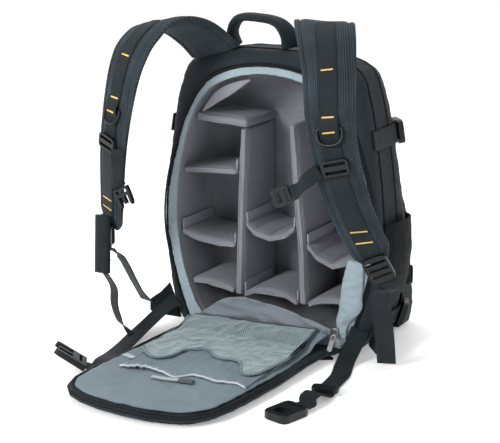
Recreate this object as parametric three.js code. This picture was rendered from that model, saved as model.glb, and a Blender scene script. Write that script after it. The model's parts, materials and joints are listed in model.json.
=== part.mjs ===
// A camera backpack that stands on its base and opens on the harness side.
// The padded back panel lies open on the floor in front of the bag, lining up.
// Millimetres, +Z up, +X to the right of a viewer who looks into the opened bag.
// The origin is on the floor, under the middle of the bag's base.

import * as THREE from 'three';

// Driving dimensions of the bag
const BAG_TALL = 405;
const BAG_HALF = 165;
const FRONT_Y = -60;
const DEPTH_BASE = 136;
const DEPTH_TOP = 102;
const FAR_ROUND = 40;
const SHELL_WALL = 8;
const LINER_BACK = 7.6;
const FRONT_ROUND = 14;

// Clearances
const GAP = 0.4;
const LINER_GAP = 2.4;
const SLACK = 0.6;

// Padded insert inside the bag
const RIM_THICK = 3;
const DIVIDER_FRONT = 6;
const DIVIDER_THICK = 12;
const LEFT_DIVIDER_TOP = BAG_TALL * 0.7333;
const RIGHT_DIVIDER_TOP = BAG_TALL * 0.763;
const FLOOR_PAD_TOP = 72;
const FLOOR_PAD_THICK = 10;
const PAD_BEVEL = 3.5;

// Opened back panel
const FLAP_LONG = 330;
const FLAP_THICK = 10;
const BACK_PAD_THICK = 4.6;
const BACK_PAD_INSET = 13;
const LINING_INSET = 12;
const LINING_THICK = 1.6;
const LINING_RISE = 17;
const LINING_RUN = 56;
const POCKET_SHEET = 2.2;

// Front organizer pocket on the far face
const POCKET_TOP = 262;
const POCKET_LOW = 4;
const POCKET_DEEP_BASE = 65;
const POCKET_DEEP_TOP = 16;
const POCKET_WALL = 4;
const POCKET_ROUND = 22;

// Side pockets and side straps
const SIDE_POCKET_TOP = 186;
const SIDE_POCKET_LOW = 74;
const SIDE_POCKET_BULGE = 15;
const SIDE_POCKET_WALL = 2.4;
const SIDE_STRAP_WIDE = 25;
const UPPER_STRAP_Z = 296;
const LOWER_STRAP_Z = 40;

// Shoulder straps
const STRAP_REACH = 124;
const STRAP_WIDE = 70;
const STRAP_THICK = 12;
const WEB_WIDE = 25;
const WEB_THICK = 1.8;
const RING_WIRE = 2.1;
const RING_HALF = 18;
const RING_DROP = 25;
const LOCK_WIDE = 33;
const LOCK_TALL = 38;
const LOCK_THICK = 5;

// Waist belt and carrying handle
const BELT_WIDE = 26;
const BELT_THICK = 2;
const BUCKLE_WIDE = 36;
const BUCKLE_LONG = 46;
const BUCKLE_THICK = 10;
const HANDLE_X = -19;
const HANDLE_HALF = 42;
const HANDLE_RISE = 39;
const HANDLE_WIDE = 24;
const HANDLE_THICK = 11;

// Colours and finishes
const FINISH = {
  cloth: { color: 0x2b3338, roughness: 0.9, metalness: 0 },
  webbing: { color: 0x262d31, roughness: 0.8, metalness: 0 },
  plastic: { color: 0x17191c, roughness: 0.4, metalness: 0 },
  lining: { color: 0x8f9da3, roughness: 0.85, metalness: 0 },
  rim: { color: 0xa5b4b8, roughness: 0.8, metalness: 0 },
  insert: { color: 0x6f6d74, roughness: 0.95, metalness: 0 },
  mesh: { color: 0x93a5a6, roughness: 0.9, metalness: 0 },
  metal: { color: 0xb9b3a2, roughness: 0.3, metalness: 1 },
};

const group = new THREE.Group();
const V = (x, y, z) => new THREE.Vector3(x, y, z);
const mix = (a, b, t) => a + (b - a) * t;
const clamp01 = (t) => Math.min(1, Math.max(0, t));
const ease = (t) => clamp01(t) ** 2 * (3 - 2 * clamp01(t));

function place(name, geometry, finish) {
  const mesh = new THREE.Mesh(geometry, new THREE.MeshStandardMaterial(FINISH[finish]));
  mesh.name = name;
  group.add(mesh);
  return mesh;
}

// Closed solids from rings of points
// Every ring has the same number of points. The ends of a row of rings are closed by a strip of
// triangles between the halves of the ring, or by a fan about its middle, or joined together.
function solidFromRings(rings, ends = 'strip') {
  const count = rings[0].length;
  const points = rings.flat();
  const faces = [];
  const rows = ends === 'joined' ? rings.length : rings.length - 1;
  for (let row = 0; row < rows; row += 1) {
    const next = (row + 1) % rings.length;
    for (let i = 0; i < count; i += 1) {
      const j = (i + 1) % count;
      faces.push([row * count + i, row * count + j, next * count + j]);
      faces.push([row * count + i, next * count + j, next * count + i]);
    }
  }
  const last = (rings.length - 1) * count;
  if (ends === 'fan') {
    for (const [first, turned] of [[0, true], [last, false]]) {
      const ring = rings[first / count];
      points.push(ring.reduce((sum, p) => sum.add(p), V(0, 0, 0)).divideScalar(count));
      for (let i = 0; i < count; i += 1) {
        const pair = [first + i, first + ((i + 1) % count)];
        faces.push([points.length - 1, ...(turned ? pair.reverse() : pair)]);
      }
    }
  }
  if (ends === 'strip') {
    let i = 0;
    let j = count - 1;
    while (i + 1 < j) {
      faces.push([i, j, i + 1], [last + i, last + i + 1, last + j]);
      i += 1;
      if (i + 1 < j) {
        faces.push([i, j, j - 1], [last + i, last + j - 1, last + j]);
        j -= 1;
      }
    }
  }
  let volume = 0;
  for (const [a, b, c] of faces) {
    volume += points[a].dot(points[b].clone().cross(points[c]));
  }
  const outward = volume > 0 ? faces : faces.map(([a, b, c]) => [a, c, b]);
  const geometry = new THREE.BufferGeometry().setFromPoints(points);
  geometry.setIndex(outward.flat());
  return geometry;
}

// A rounded oblong section: u across, v through the thickness
function padSection(u0, u1, v0, v1, bevel) {
  const b = Math.min(bevel, (u1 - u0) / 2.2, (v1 - v0) / 2.2);
  return [
    [u0, v0 + b], [u0 + b, v0], [u1 - b, v0], [u1, v0 + b],
    [u1, v1 - b], [u1 - b, v1], [u0 + b, v1], [u0, v1 - b],
  ];
}

// Outlines of the bag, of its opening and of the room inside the insert
// Each row is one Bezier piece of the right half, from the base up. Widths are shares of
// BAG_HALF and heights are shares of BAG_TALL.
const OUTLINES = {
  bag: {
    start: { x: 0, z: 0 },
    flat: { x: 0.675, z: 0 },
    rows: [
      { ax: 0.933, az: 0, bx: 0.969, bz: 0.123, x: 0.994, z: 0.358 },
      { ax: 1.006, az: 0.457, bx: 0.963, bz: 0.58, x: 0.939, z: 0.662 },
      { ax: 0.91, az: 0.746, bx: 0.87, bz: 0.845, x: 0.81, z: 0.916 },
      { ax: 0.755, az: 0.972, bx: 0.54, bz: 1, x: 0, z: 1 },
    ],
  },
  opening: {
    start: { x: 0, z: 0.02 },
    flat: { x: 0.675, z: 0.02 },
    rows: [
      { ax: 0.761, az: 0.049, bx: 0.871, bz: 0.173, x: 0.945, z: 0.346 },
      { ax: 0.982, az: 0.444, bx: 0.908, bz: 0.58, x: 0.847, z: 0.647 },
      { ax: 0.816, az: 0.716, bx: 0.724, bz: 0.815, x: 0.558, z: 0.884 },
      { ax: 0.405, az: 0.933, bx: 0.184, bz: 0.948, x: 0, z: 0.948 },
    ],
  },
  room: {
    start: { x: 0, z: 0.049 },
    flat: { x: 0.54, z: 0.049 },
    rows: [
      { ax: 0.687, az: 0.069, bx: 0.822, bz: 0.217, x: 0.859, z: 0.37 },
      { ax: 0.877, az: 0.481, bx: 0.834, bz: 0.58, x: 0.791, z: 0.647 },
      { ax: 0.755, az: 0.728, bx: 0.675, bz: 0.815, x: 0.528, z: 0.864 },
      { ax: 0.38, az: 0.904, bx: 0.172, bz: 0.923, x: 0, z: 0.923 },
    ],
  },
};
const FLAT_STEPS = 3;
const BEZIER_STEPS = [6, 5, 5, 5];

// The whole outline, counterclockwise from the middle of the base, as {x, z} points
function outlinePoints({ start, flat, rows }) {
  const right = [];
  for (let i = 0; i < FLAT_STEPS; i += 1) {
    right.push({ x: mix(start.x, flat.x, i / FLAT_STEPS), z: start.z });
  }
  let from = flat;
  rows.forEach((row, k) => {
    const steps = BEZIER_STEPS[k];
    for (let i = 0; i < steps; i += 1) {
      const t = i / steps;
      const s = 1 - t;
      right.push({
        x: s ** 3 * from.x + 3 * s * s * t * row.ax + 3 * s * t * t * row.bx + t ** 3 * row.x,
        z: s ** 3 * from.z + 3 * s * s * t * row.az + 3 * s * t * t * row.bz + t ** 3 * row.z,
      });
    }
    from = row;
  });
  const sized = right.map((p) => ({ x: p.x * BAG_HALF, z: p.z * BAG_TALL }));
  const left = sized.slice(1).reverse().map((p) => ({ x: -p.x, z: p.z }));
  return [...sized, { x: 0, z: from.z * BAG_TALL }, ...left];
}

// Moves an outline inwards by a distance, along the normals at its points
function inset(outline, distance) {
  const count = outline.length;
  return outline.map((p, i) => {
    const a = outline[(i + count - 1) % count];
    const b = outline[(i + 1) % count];
    const length = Math.hypot(b.x - a.x, b.z - a.z);
    return {
      x: p.x - ((b.z - a.z) / length) * distance,
      z: p.z + ((b.x - a.x) / length) * distance,
    };
  });
}

const mixOutlines = (a, b, t) => a.map((p, i) => ({
  x: mix(p.x, b[i].x, t), z: mix(p.z, b[i].z, t),
}));

// Half width of an outline at a height
function halfAt(outline, z) {
  const right = outline.slice(FLAT_STEPS, Math.ceil(outline.length / 2) + 1);
  for (let i = 1; i < right.length; i += 1) {
    if (right[i].z >= z) {
      const low = right[i - 1];
      return mix(low.x, right[i].x, clamp01((z - low.z) / (right[i].z - low.z)));
    }
  }
  return 0;
}

const BAG = outlinePoints(OUTLINES.bag);
const OPENING = outlinePoints(OUTLINES.opening);
const ROOM = outlinePoints(OUTLINES.room);

// The far face leans: the bag is deeper at its base than at its top.
const farAt = (z) => FRONT_Y + mix(DEPTH_BASE, DEPTH_TOP, z / BAG_TALL);
const ringAt = (outline, yAt) => outline.map((p) => V(p.x, yAt(p.z), p.z));
const ARC = [0, 30, 60, 90].map((degrees) => THREE.MathUtils.degToRad(degrees));

// Rings of a rounded far edge, from its straight side to its flat face, a clearance inside
function farRings(outline, radius, clearance) {
  return ARC.map((angle) => ringAt(
    inset(outline, clearance + radius * (1 - Math.cos(angle))),
    (z) => farAt(z) - FAR_ROUND - clearance + radius * Math.sin(angle),
  ));
}

// Bag body: an open padded shell of outer cloth
function makeShell() {
  const outside = farRings(BAG, FAR_ROUND, 0).reverse();
  const front = [
    ringAt(BAG, () => FRONT_Y + FRONT_ROUND),
    ringAt(mixOutlines(OPENING, BAG, 0.85), () => FRONT_Y + FRONT_ROUND * 0.4),
    ringAt(mixOutlines(OPENING, BAG, 0.45), () => FRONT_Y),
    ringAt(OPENING, () => FRONT_Y),
  ];
  const inside = farRings(OPENING, FAR_ROUND - SHELL_WALL, 0);
  place('shell', solidFromRings([...outside, ...front, ...inside], 'fan'), 'cloth');
}

// Padded liner inside the shell, and the pale binding round its front edge
const LINER_OUT = FAR_ROUND - SHELL_WALL;
const LINER_IN = LINER_OUT - LINER_BACK;
const LINER_FRONT = FRONT_Y + RIM_THICK + GAP;

function makeLiner() {
  const outside = farRings(OPENING, LINER_OUT, LINER_GAP).reverse();
  const front = [
    ringAt(inset(OPENING, LINER_GAP), () => LINER_FRONT),
    ringAt(ROOM, () => LINER_FRONT),
  ];
  const inside = farRings(ROOM, LINER_IN, 0);
  // Its points run the other way round, so that its facets match those of the shell.
  const rings = [...outside, ...front, ...inside].map((ring) => ring.slice().reverse());
  place('liner', solidFromRings(rings, 'fan'), 'insert');
}

function makeRim() {
  const outer = inset(OPENING, GAP);
  const rings = outer.map((p, i) => {
    const q = ROOM[i];
    return [
      V(p.x, FRONT_Y, p.z), V(q.x, FRONT_Y, q.z),
      V(q.x, FRONT_Y + RIM_THICK, q.z), V(p.x, FRONT_Y + RIM_THICK, p.z),
    ];
  });
  place('rim', solidFromRings(rings, 'joined'), 'rim');
}

// Room for a pad inside the liner: the deepest y that is free at x and z
function roomBack(x, z) {
  const d = halfAt(ROOM, z) - Math.abs(x);
  const flat = farAt(z) - FAR_ROUND + LINER_IN;
  for (let k = 1; k < ARC.length; k += 1) {
    const d0 = LINER_IN * (1 - Math.cos(ARC[k - 1]));
    const d1 = LINER_IN * (1 - Math.cos(ARC[k]));
    if (d < d1) {
      const y0 = flat - LINER_IN + LINER_IN * Math.sin(ARC[k - 1]);
      const y1 = flat - LINER_IN + LINER_IN * Math.sin(ARC[k]);
      return mix(y0, y1, clamp01((d - d0) / (d1 - d0))) - SLACK;
    }
  }
  return flat - SLACK;
}

// Upright dividers, as columns: height as a share of BAG_TALL, middle as a share of BAG_HALF
const PAD_FRONT = FRONT_Y + DIVIDER_FRONT;
const DIVIDERS = {
  left: [{ z: 0.175, x: -0.282 }, { z: 0.49, x: -0.261 }, { z: 0.735, x: -0.236 }],
  right: [{ z: 0.175, x: 0.315 }, { z: 0.34, x: 0.3 }, { z: 0.58, x: 0.242 }, { z: 0.765, x: 0.205 }],
};

function dividerMiddle(rows, z) {
  const share = z / BAG_TALL;
  let k = 1;
  while (k < rows.length - 1 && rows[k].z < share) k += 1;
  const t = (share - rows[k - 1].z) / (rows[k].z - rows[k - 1].z);
  return mix(rows[k - 1].x, rows[k].x, t) * BAG_HALF;
}

function makeDivider(name, rows, low, high) {
  const steps = 6;
  const rings = [];
  for (let i = 0; i <= steps; i += 1) {
    const z = mix(low, high, i / steps);
    const x = dividerMiddle(rows, z);
    const half = (i === steps ? 0.82 : 1) * DIVIDER_THICK / 2;
    const back = roomBack(x, z);
    rings.push(padSection(x - half, x + half, PAD_FRONT, back, PAD_BEVEL)
      .map(([u, v]) => V(u, v, z)));
  }
  place(name, solidFromRings(rings), 'insert');
}

// Level pads between two sides, with a sag along x
// The sag table gives the height of the top along the pad, from its first side to its last.
function makePad(name, x0At, x1At, tops, thick) {
  const rings = [];
  const shares = [0, 0.03, 0.08, 0.2, 0.35, 0.5, 0.65, 0.8, 0.92, 0.97, 1];
  for (const t of shares) {
    const k = Math.min(tops.length - 2, Math.floor(t * (tops.length - 1)));
    const local = t * (tops.length - 1) - k;
    const top = mix(tops[k], tops[k + 1], ease(local));
    const low = top - thick;
    const x0 = Math.max(x0At(top), x0At(low));
    const x1 = Math.min(x1At(top), x1At(low));
    const x = mix(x0, x1, t);
    const back = Math.min(roomBack(x, top), roomBack(x, low));
    const shrink = (t === 0 || t === 1) ? PAD_BEVEL * 0.5 : 0;
    rings.push(padSection(PAD_FRONT + shrink, back, low + shrink, top - shrink, PAD_BEVEL)
      .map(([u, v]) => V(x, u, v)));
  }
  place(name, solidFromRings(rings), 'insert');
}

const wallRight = (z) => halfAt(ROOM, z) - SLACK;
const wallLeft = (z) => -wallRight(z);
const besideLeft = (side) => (z) => dividerMiddle(DIVIDERS.left, z)
  + side * (DIVIDER_THICK / 2 + SLACK);
const besideRight = (side) => (z) => dividerMiddle(DIVIDERS.right, z)
  + side * (DIVIDER_THICK / 2 + SLACK);

// Shelves, as rows: tops along the pad as shares of BAG_TALL
const PADS = [
  { name: 'shelf_top', side: 'over', thick: 14, tops: [0.778, 0.773, 0.768] },
  { name: 'shelf_upper', side: 'left', thick: 10, tops: [0.583, 0.588, 0.592, 0.595] },
  { name: 'shelf_lower', side: 'left', thick: 10, tops: [0.365, 0.345, 0.338, 0.341] },
  { name: 'saddle_middle', side: 'middle', thick: 10, tops: [0.42, 0.388, 0.378, 0.392, 0.425] },
  { name: 'saddle_right', side: 'right', thick: 10, tops: [0.372, 0.33, 0.312, 0.33, 0.36] },
  { name: 'floor_left', side: 'left', thick: 10, tops: [0.19, 0.194, 0.186, 0.176] },
  { name: 'floor_middle', side: 'middle', thick: 10, tops: [0.168, 0.188, 0.19, 0.188, 0.166] },
  { name: 'floor_right', side: 'right', thick: 10, tops: [0.168, 0.188, 0.194, 0.194] },
];

function makeInsert() {
  const base = FLOOR_PAD_TOP - FLOOR_PAD_THICK;
  makeDivider('divider_left', DIVIDERS.left, base, LEFT_DIVIDER_TOP);
  makeDivider('divider_right', DIVIDERS.right, base, RIGHT_DIVIDER_TOP);
  const cornerOf = () => dividerMiddle(DIVIDERS.left, LEFT_DIVIDER_TOP) + DIVIDER_THICK / 2;
  const sides = {
    over: [wallLeft, cornerOf],
    left: [wallLeft, besideLeft(-1)],
    middle: [besideLeft(1), besideRight(-1)],
    right: [besideRight(1), wallRight],
  };
  for (const { name, side, thick, tops } of PADS) {
    makePad(name, ...sides[side], tops.map((share) => share * BAG_TALL), thick);
  }
}

// Opened back panel: its outline in plan, from the right end of the hinge round the tip
// Columns: x as a share of BAG_HALF, far as a share of FLAP_LONG away from the front plane.
const FLAP_EDGE = [
  { x: 0.7, far: 0 }, { x: 0.65, far: 0.09 }, { x: 0.63, far: 0.22 }, { x: 0.622, far: 0.44 },
  { x: 0.592, far: 0.64 }, { x: 0.562, far: 0.77 }, { x: 0.52, far: 0.86 },
  { x: 0.43, far: 0.93 }, { x: 0.34, far: 0.962 }, { x: 0.21, far: 0.985 }, { x: 0.05, far: 1 },
  { x: -0.13, far: 1 }, { x: -0.35, far: 0.99 }, { x: -0.53, far: 0.968 },
  { x: -0.68, far: 0.93 }, { x: -0.78, far: 0.87 }, { x: -0.825, far: 0.8 },
  { x: -0.83, far: 0.71 }, { x: -0.8, far: 0.55 }, { x: -0.795, far: 0.4 }, { x: -0.785, far: 0.25 },
  { x: -0.765, far: 0.1 }, { x: -0.74, far: 0 },
];
const FLAP_PLAN = FLAP_EDGE.map((p) => ({ x: p.x * BAG_HALF, z: GAP + p.far * FLAP_LONG }));

// A flat slab of the flap's outline, with softened edges
function planSlab(off, z0, z1, bevel) {
  const level = (more, z) => inset(FLAP_PLAN, off + more).map((p) => V(p.x, FRONT_Y - p.z, z));
  return solidFromRings([
    level(bevel, z0), level(0, z0 + bevel), level(0, z1 - bevel), level(bevel, z1),
  ], 'fan');
}

const FLAP_LOW = BACK_PAD_THICK + GAP;
const FLAP_TOP = FLAP_LOW + FLAP_THICK;
const LINING_TOP = FLAP_TOP + GAP + LINING_THICK;
const LINING_START = 11;

// The lining rises towards the hinge, more on its right than on its left
function riseAt(x, far) {
  const run = ease((LINING_START + LINING_RUN - far) / LINING_RUN);
  return run * LINING_RISE * mix(0.55, 1, clamp01(0.5 + x / (1.2 * BAG_HALF)));
}

// Distances at which the sheets bend as they come down from the hinge
const HINGE_PLACES = [0, 0.33, 0.7, 1].map((share) => LINING_START + 4 + share * LINING_RUN);

// Left and right edge of the lining at a distance from the front plane
function liningEdges(far) {
  const outline = inset(FLAP_PLAN, LINING_INSET);
  const hits = [];
  outline.forEach((a, i) => {
    const b = outline[(i + 1) % outline.length];
    if ((a.z - far) * (b.z - far) < 0) hits.push(mix(a.x, b.x, (far - a.z) / (b.z - a.z)));
  });
  return [Math.min(...hits), Math.max(...hits)];
}

function sheetRow(x0, x1, far, low, thick) {
  const steps = 4;
  const under = [];
  const over = [];
  for (let i = 0; i <= steps; i += 1) {
    const x = mix(x0, x1, i / steps);
    const z = low + riseAt(x, far);
    under.push(V(x, FRONT_Y - far, z));
    over.push(V(x, FRONT_Y - far, z + thick));
  }
  return [...under, ...over.reverse()];
}

function makeLining() {
  const tip = FLAP_LONG - LINING_INSET - 1;
  const flat = [0.45, 0.7, 0.8, 0.88, 0.94, 0.98, 1].map((share) => share * tip);
  const rings = [LINING_START + 2, ...HINGE_PLACES, ...flat].map((far) => {
    const [x0, x1] = liningEdges(Math.max(far, 2 * LINING_INSET));
    return sheetRow(x0, x1, far, FLAP_TOP + GAP, LINING_THICK);
  });
  place('flap_lining', solidFromRings(rings), 'lining');
}

// Pocket sheets on the lining, as rows along x: share of BAG_HALF against the hem's share of
// FLAP_LONG
const MESH_HEM = [
  { x: -0.63, far: 0.45 }, { x: -0.52, far: 0.51 }, { x: -0.41, far: 0.53 }, { x: -0.33, far: 0.49 },
  { x: -0.29, far: 0.385 }, { x: -0.18, far: 0.35 }, { x: 0.03, far: 0.42 }, { x: 0.18, far: 0.41 },
  { x: 0.4, far: 0.53 }, { x: 0.47, far: 0.5 }, { x: 0.52, far: 0.3 },
];
const BAND_HEM = [
  { x: -0.58, far: 0.66 }, { x: -0.34, far: 0.633 }, { x: -0.22, far: 0.64 }, { x: -0.08, far: 0.66 },
  { x: 0, far: 0.615 }, { x: 0.23, far: 0.624 }, { x: 0.42, far: 0.615 }, { x: 0.5, far: 0.635 },
];

function hemSheet(rows, z0) {
  const rings = rows.map(({ x, far }) => {
    const px = x * BAG_HALF;
    const places = [...HINGE_PLACES, Math.max(HINGE_PLACES[3] + 5, far * FLAP_LONG)];
    const low = places.map((d) => V(px, FRONT_Y - d, z0 + riseAt(px, d)));
    const high = places.map((d) => V(px, FRONT_Y - d, z0 + POCKET_SHEET + riseAt(px, d))).reverse();
    return [...low, ...high];
  });
  return solidFromRings(rings);
}

function makeFlap() {
  place('flap_panel', planSlab(0, FLAP_LOW, FLAP_TOP, 3), 'cloth');
  place('back_pad', planSlab(BACK_PAD_INSET, 0, BACK_PAD_THICK, 1.6), 'cloth');
  makeLining();
  const band = LINING_TOP + SLACK;
  place('flap_pocket_band', hemSheet(BAND_HEM, band), 'lining');
  place('flap_pocket_mesh', hemSheet(MESH_HEM, band + POCKET_SHEET + SLACK), 'mesh');
}

// Cloth sheets that stand in front of the opening, as rows of heights or edges
const SHEET = 2.4;
const LIP = [
  { x: -0.62, top: 0.075, out: 1.5 }, { x: -0.5, top: 0.11, out: 4 },
  { x: -0.38, top: 0.143, out: 6 }, { x: -0.2, top: 0.16, out: 3.5 },
  { x: 0.05, top: 0.152, out: 5.5 }, { x: 0.28, top: 0.134, out: 3 },
  { x: 0.46, top: 0.118, out: 5 }, { x: 0.62, top: 0.1, out: 2 },
];

function makeLip() {
  const foot = FLAP_TOP + GAP + 1;
  const rings = LIP.map(({ x, top, out }) => {
    const y = FRONT_Y - GAP - out;
    const z = top * BAG_TALL;
    const px = x * BAG_HALF;
    const half = mix(foot, z, 0.5);
    return [
      V(px, FRONT_Y - GAP, foot), V(px, y - 1, half), V(px, y, z),
      V(px, y - SHEET, z), V(px, y - SHEET - 1, half), V(px, FRONT_Y - GAP - SHEET, foot),
    ];
  });
  place('lip_fold', solidFromRings(rings), 'insert');
}

const GUSSET = [
  { z: 0.07, inner: 0.7, outer: 0.74, out: 2 }, { z: 0.116, inner: 0.66, outer: 0.76, out: 5 },
  { z: 0.173, inner: 0.68, outer: 0.87, out: 6 }, { z: 0.235, inner: 0.7, outer: 0.88, out: 3 },
  { z: 0.29, inner: 0.72, outer: 0.885, out: 4 }, { z: 0.34, inner: 0.755, outer: 0.89, out: 1.5 },
];

function makeGusset() {
  const rings = GUSSET.map(({ z, inner, outer, out }) => {
    const back = FRONT_Y - GAP;
    const edges = [[inner, back], [mix(inner, outer, 0.5), back - out], [outer, back]];
    const near = edges.map(([x, y]) => V(x * BAG_HALF, y, z * BAG_TALL));
    const front = edges.map(([x, y]) => V(x * BAG_HALF, y - SHEET, z * BAG_TALL));
    return [...near, ...front.reverse()];
  });
  place('gusset_right', solidFromRings(rings), 'rim');
}

// Front organizer pocket: a hollow wedge whose open side lies on the far face
function pocketOutline(off) {
  const high = POCKET_TOP - off;
  const low = POCKET_LOW + off;
  const points = [];
  const steps = 9;
  for (let i = 0; i <= steps; i += 1) {
    const t = i / steps;
    const z = mix(low, high, t);
    const arch = t > 0.7 ? Math.sqrt(1 - ((t - 0.7) / 0.3) ** 2 * 0.75) : 1;
    const corner = t < 0.1 ? 0.96 : 1;
    points.push({ x: (0.89 * BAG_HALF - off) * arch * corner, z });
  }
  return [...points, ...points.slice().reverse().map((p) => ({ x: -p.x, z: p.z }))];
}

function pocketDepth(z) {
  const t = clamp01(z / POCKET_TOP);
  return mix(POCKET_DEEP_BASE, POCKET_DEEP_TOP, ease(t) * 0.6 + t * 0.4);
}

function makeOrganizer() {
  const wrap = (off, share, less) => pocketOutline(off).map((p) => {
    const seat = farAt(p.z) + GAP;
    return V(p.x, seat + share * (pocketDepth(p.z) - less), p.z);
  });
  const rings = [
    wrap(POCKET_ROUND, 1, 0), wrap(POCKET_ROUND * 0.35, 0.88, 0), wrap(0, 0.6, 0), wrap(0, 0, 0),
    wrap(POCKET_WALL, 0, 0), wrap(POCKET_WALL, 0.6, POCKET_WALL),
    wrap(POCKET_ROUND * 0.35 + POCKET_WALL, 0.88, POCKET_WALL),
    wrap(POCKET_ROUND, 1, POCKET_WALL),
  ];
  place('organizer_pocket', solidFromRings(rings, 'fan'), 'cloth');
}

// Half width of the shell at a depth, past its rounded far edge as well
function sideX(y, z) {
  const half = halfAt(BAG, z);
  const past = y - (farAt(z) - FAR_ROUND);
  if (past <= 0) return half;
  return half - FAR_ROUND + Math.sqrt(Math.max(0, FAR_ROUND ** 2 - past ** 2));
}

// Side pocket: a bulging sheet, open at its hem and against the shell's side
function makeSidePocket(name, side) {
  const y0 = FRONT_Y + 18;
  const y1At = (z) => farAt(z) - FAR_ROUND * 0.62;
  const rings = [];
  const rows = [
    { z: 0, bulge: 0.05 }, { z: 0.12, bulge: 0.5 }, { z: 0.35, bulge: 0.85 },
    { z: 0.65, bulge: 1 }, { z: 1, bulge: 0.86 },
  ];
  const steps = 8;
  for (const row of rows) {
    const z = mix(SIDE_POCKET_LOW, SIDE_POCKET_TOP, row.z);
    const outer = [];
    const inner = [];
    for (let i = 0; i <= steps; i += 1) {
      const t = i / steps;
      const y = mix(y0, y1At(z), t);
      const bow = Math.sin(Math.PI * t) ** 0.6 * SIDE_POCKET_BULGE * row.bulge;
      const x = sideX(y, z) + 2 * GAP + bow;
      outer.push(V(side * (x + SIDE_POCKET_WALL), y, z));
      inner.push(V(side * x, y, z));
    }
    rings.push([...outer, ...inner.reverse()]);
  }
  place(name, solidFromRings(rings), 'webbing');
}

// Swept pieces: a rounded section carried along stations
// A station has a middle, a direction across and a direction out of the face.
function stationsOf(rows, steps) {
  const curve = new THREE.CatmullRomCurve3(rows.map((r) => V(r.x, r.y, r.z)), false, 'centripetal');
  const spans = rows.length - 1;
  const stations = [];
  for (let i = 0; i <= spans * steps; i += 1) {
    const u = i / (spans * steps);
    const k = Math.min(spans - 1, Math.floor(u * spans));
    const t = u * spans - k;
    const tangent = curve.getTangent(u);
    const wish = V(...rows[k].across).lerp(V(...rows[k + 1].across), t);
    const across = wish.addScaledVector(tangent, -wish.dot(tangent)).normalize();
    const out = tangent.clone().cross(across).normalize();
    stations.push({
      middle: curve.getPoint(u), tangent, across, out,
      wide: mix(rows[k].wide ?? 1, rows[k + 1].wide ?? 1, ease(t)),
    });
  }
  return stations;
}

const at = (s, u, v) => s.middle.clone().addScaledVector(s.across, u).addScaledVector(s.out, v);

function sweep(stations, width, thick, lift = () => 0, bevel = 0, seat = 0) {
  return solidFromRings(stations.map((s, i) => {
    const half = (width * s.wide) / 2;
    const middle = lift(s, i);
    const low = middle - thick / 2;
    const high = middle + thick / 2;
    const plain = [[half, low], [-half, low], [-half, high], [half, high]];
    const section = bevel ? padSection(-half, half, low, high, bevel) : plain;
    if (seat) section.splice(6, 0, [seat, high], [-seat, high]);
    return section.map(([u, v]) => at(s, u, v));
  }));
}

// Shoulder strap route: out as a share of BAG_HALF, forward as a share of STRAP_REACH ahead of
// the front plane, up as a share of BAG_TALL with the left strap's drop, wide as a share of
// STRAP_WIDE, and the turn and roll of the right and of the left strap
const STRAP_ROWS = [
  { out: 0.503, forward: -0.06, up: 0.982, drop: 0, wide: 1.08, right: [0, -0.27], left: [0, -0.27] },
  { out: 0.542, forward: 0.14, up: 1.043, drop: 0.009, wide: 1.06,
    right: [0.03, -0.2], left: [0.03, -0.28] },
  { out: 0.62, forward: 0.355, up: 1.095, drop: 0.021, wide: 1.06,
    right: [0.08, -0.08], left: [0.1, -0.26] },
  { out: 0.73, forward: 0.605, up: 1.104, drop: 0.023, wide: 1.05, right: [0.12, 0.02], left: [0.2, -0.2] },
  { out: 0.825, forward: 0.806, up: 1.057, drop: 0.026, wide: 1.02,
    right: [0.14, 0.08], left: [0.32, -0.06] },
  { out: 0.877, forward: 0.903, up: 0.977, drop: 0.013, wide: 0.97, right: [0.15, 0.12], left: [0.4, 0.1] },
  { out: 0.912, forward: 0.976, up: 0.869, drop: 0.003, wide: 0.91,
    right: [0.16, 0.16], left: [0.42, 0.16] },
  { out: 0.942, forward: 0.992, up: 0.79, drop: 0, wide: 0.87, right: [0.18, 0.18], left: [0.42, 0.18] },
  { out: 0.978, forward: 0.976, up: 0.716, drop: 0, wide: 0.84, right: [0.2, 0.2], left: [0.42, 0.2] },
  { out: 1.032, forward: 0.911, up: 0.617, drop: 0, wide: 0.8, right: [0.22, 0.25], left: [0.42, 0.25] },
  { out: 1.1, forward: 0.798, up: 0.518, drop: 0, wide: 0.76, right: [0.25, 0.3], left: [0.42, 0.3] },
  { out: 1.166, forward: 0.685, up: 0.44, drop: 0, wide: 0.7, right: [0.28, 0.32], left: [0.42, 0.32] },
  { out: 1.19, forward: 0.64, up: 0.412, drop: 0, wide: 0.5, right: [0.28, 0.32], left: [0.42, 0.32] },
];
const STRAP_STEPS = 2;
const RING_STATION = 13;
const SLIDER_STATION = 16;
const LOCK_STATION = 23;

function strapStations(side) {
  return stationsOf(STRAP_ROWS.map((r) => ({
    x: side * r.out * BAG_HALF,
    y: FRONT_Y - r.forward * STRAP_REACH,
    z: (r.up - (side > 0 ? 0 : r.drop)) * BAG_TALL,
    across: [1, side * (side > 0 ? r.right : r.left)[0], side * (side > 0 ? r.right : r.left)[1]],
    wide: r.wide,
  })), STRAP_STEPS);
}

const WEB_REST = STRAP_THICK / 2 + GAP + WEB_THICK / 2;
const RING_REST = STRAP_THICK / 2 + GAP + RING_WIRE;
const LOCK_REST = STRAP_THICK / 2 + 2 * GAP + LOCK_THICK / 2;
const WEB_OVER_RING = RING_REST + RING_WIRE + GAP + WEB_THICK / 2;

// The basis of a station as a matrix: x across, y out of the face, z up the strap
function frameOf(station, u, v) {
  const up = station.across.clone().cross(station.out).normalize();
  const sign = up.z < 0 ? -1 : 1;
  const x = station.across.clone().multiplyScalar(-sign);
  return new THREE.Matrix4().makeBasis(x, station.out.clone().negate(), up.multiplyScalar(sign))
    .setPosition(at(station, u, v));
}

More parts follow.
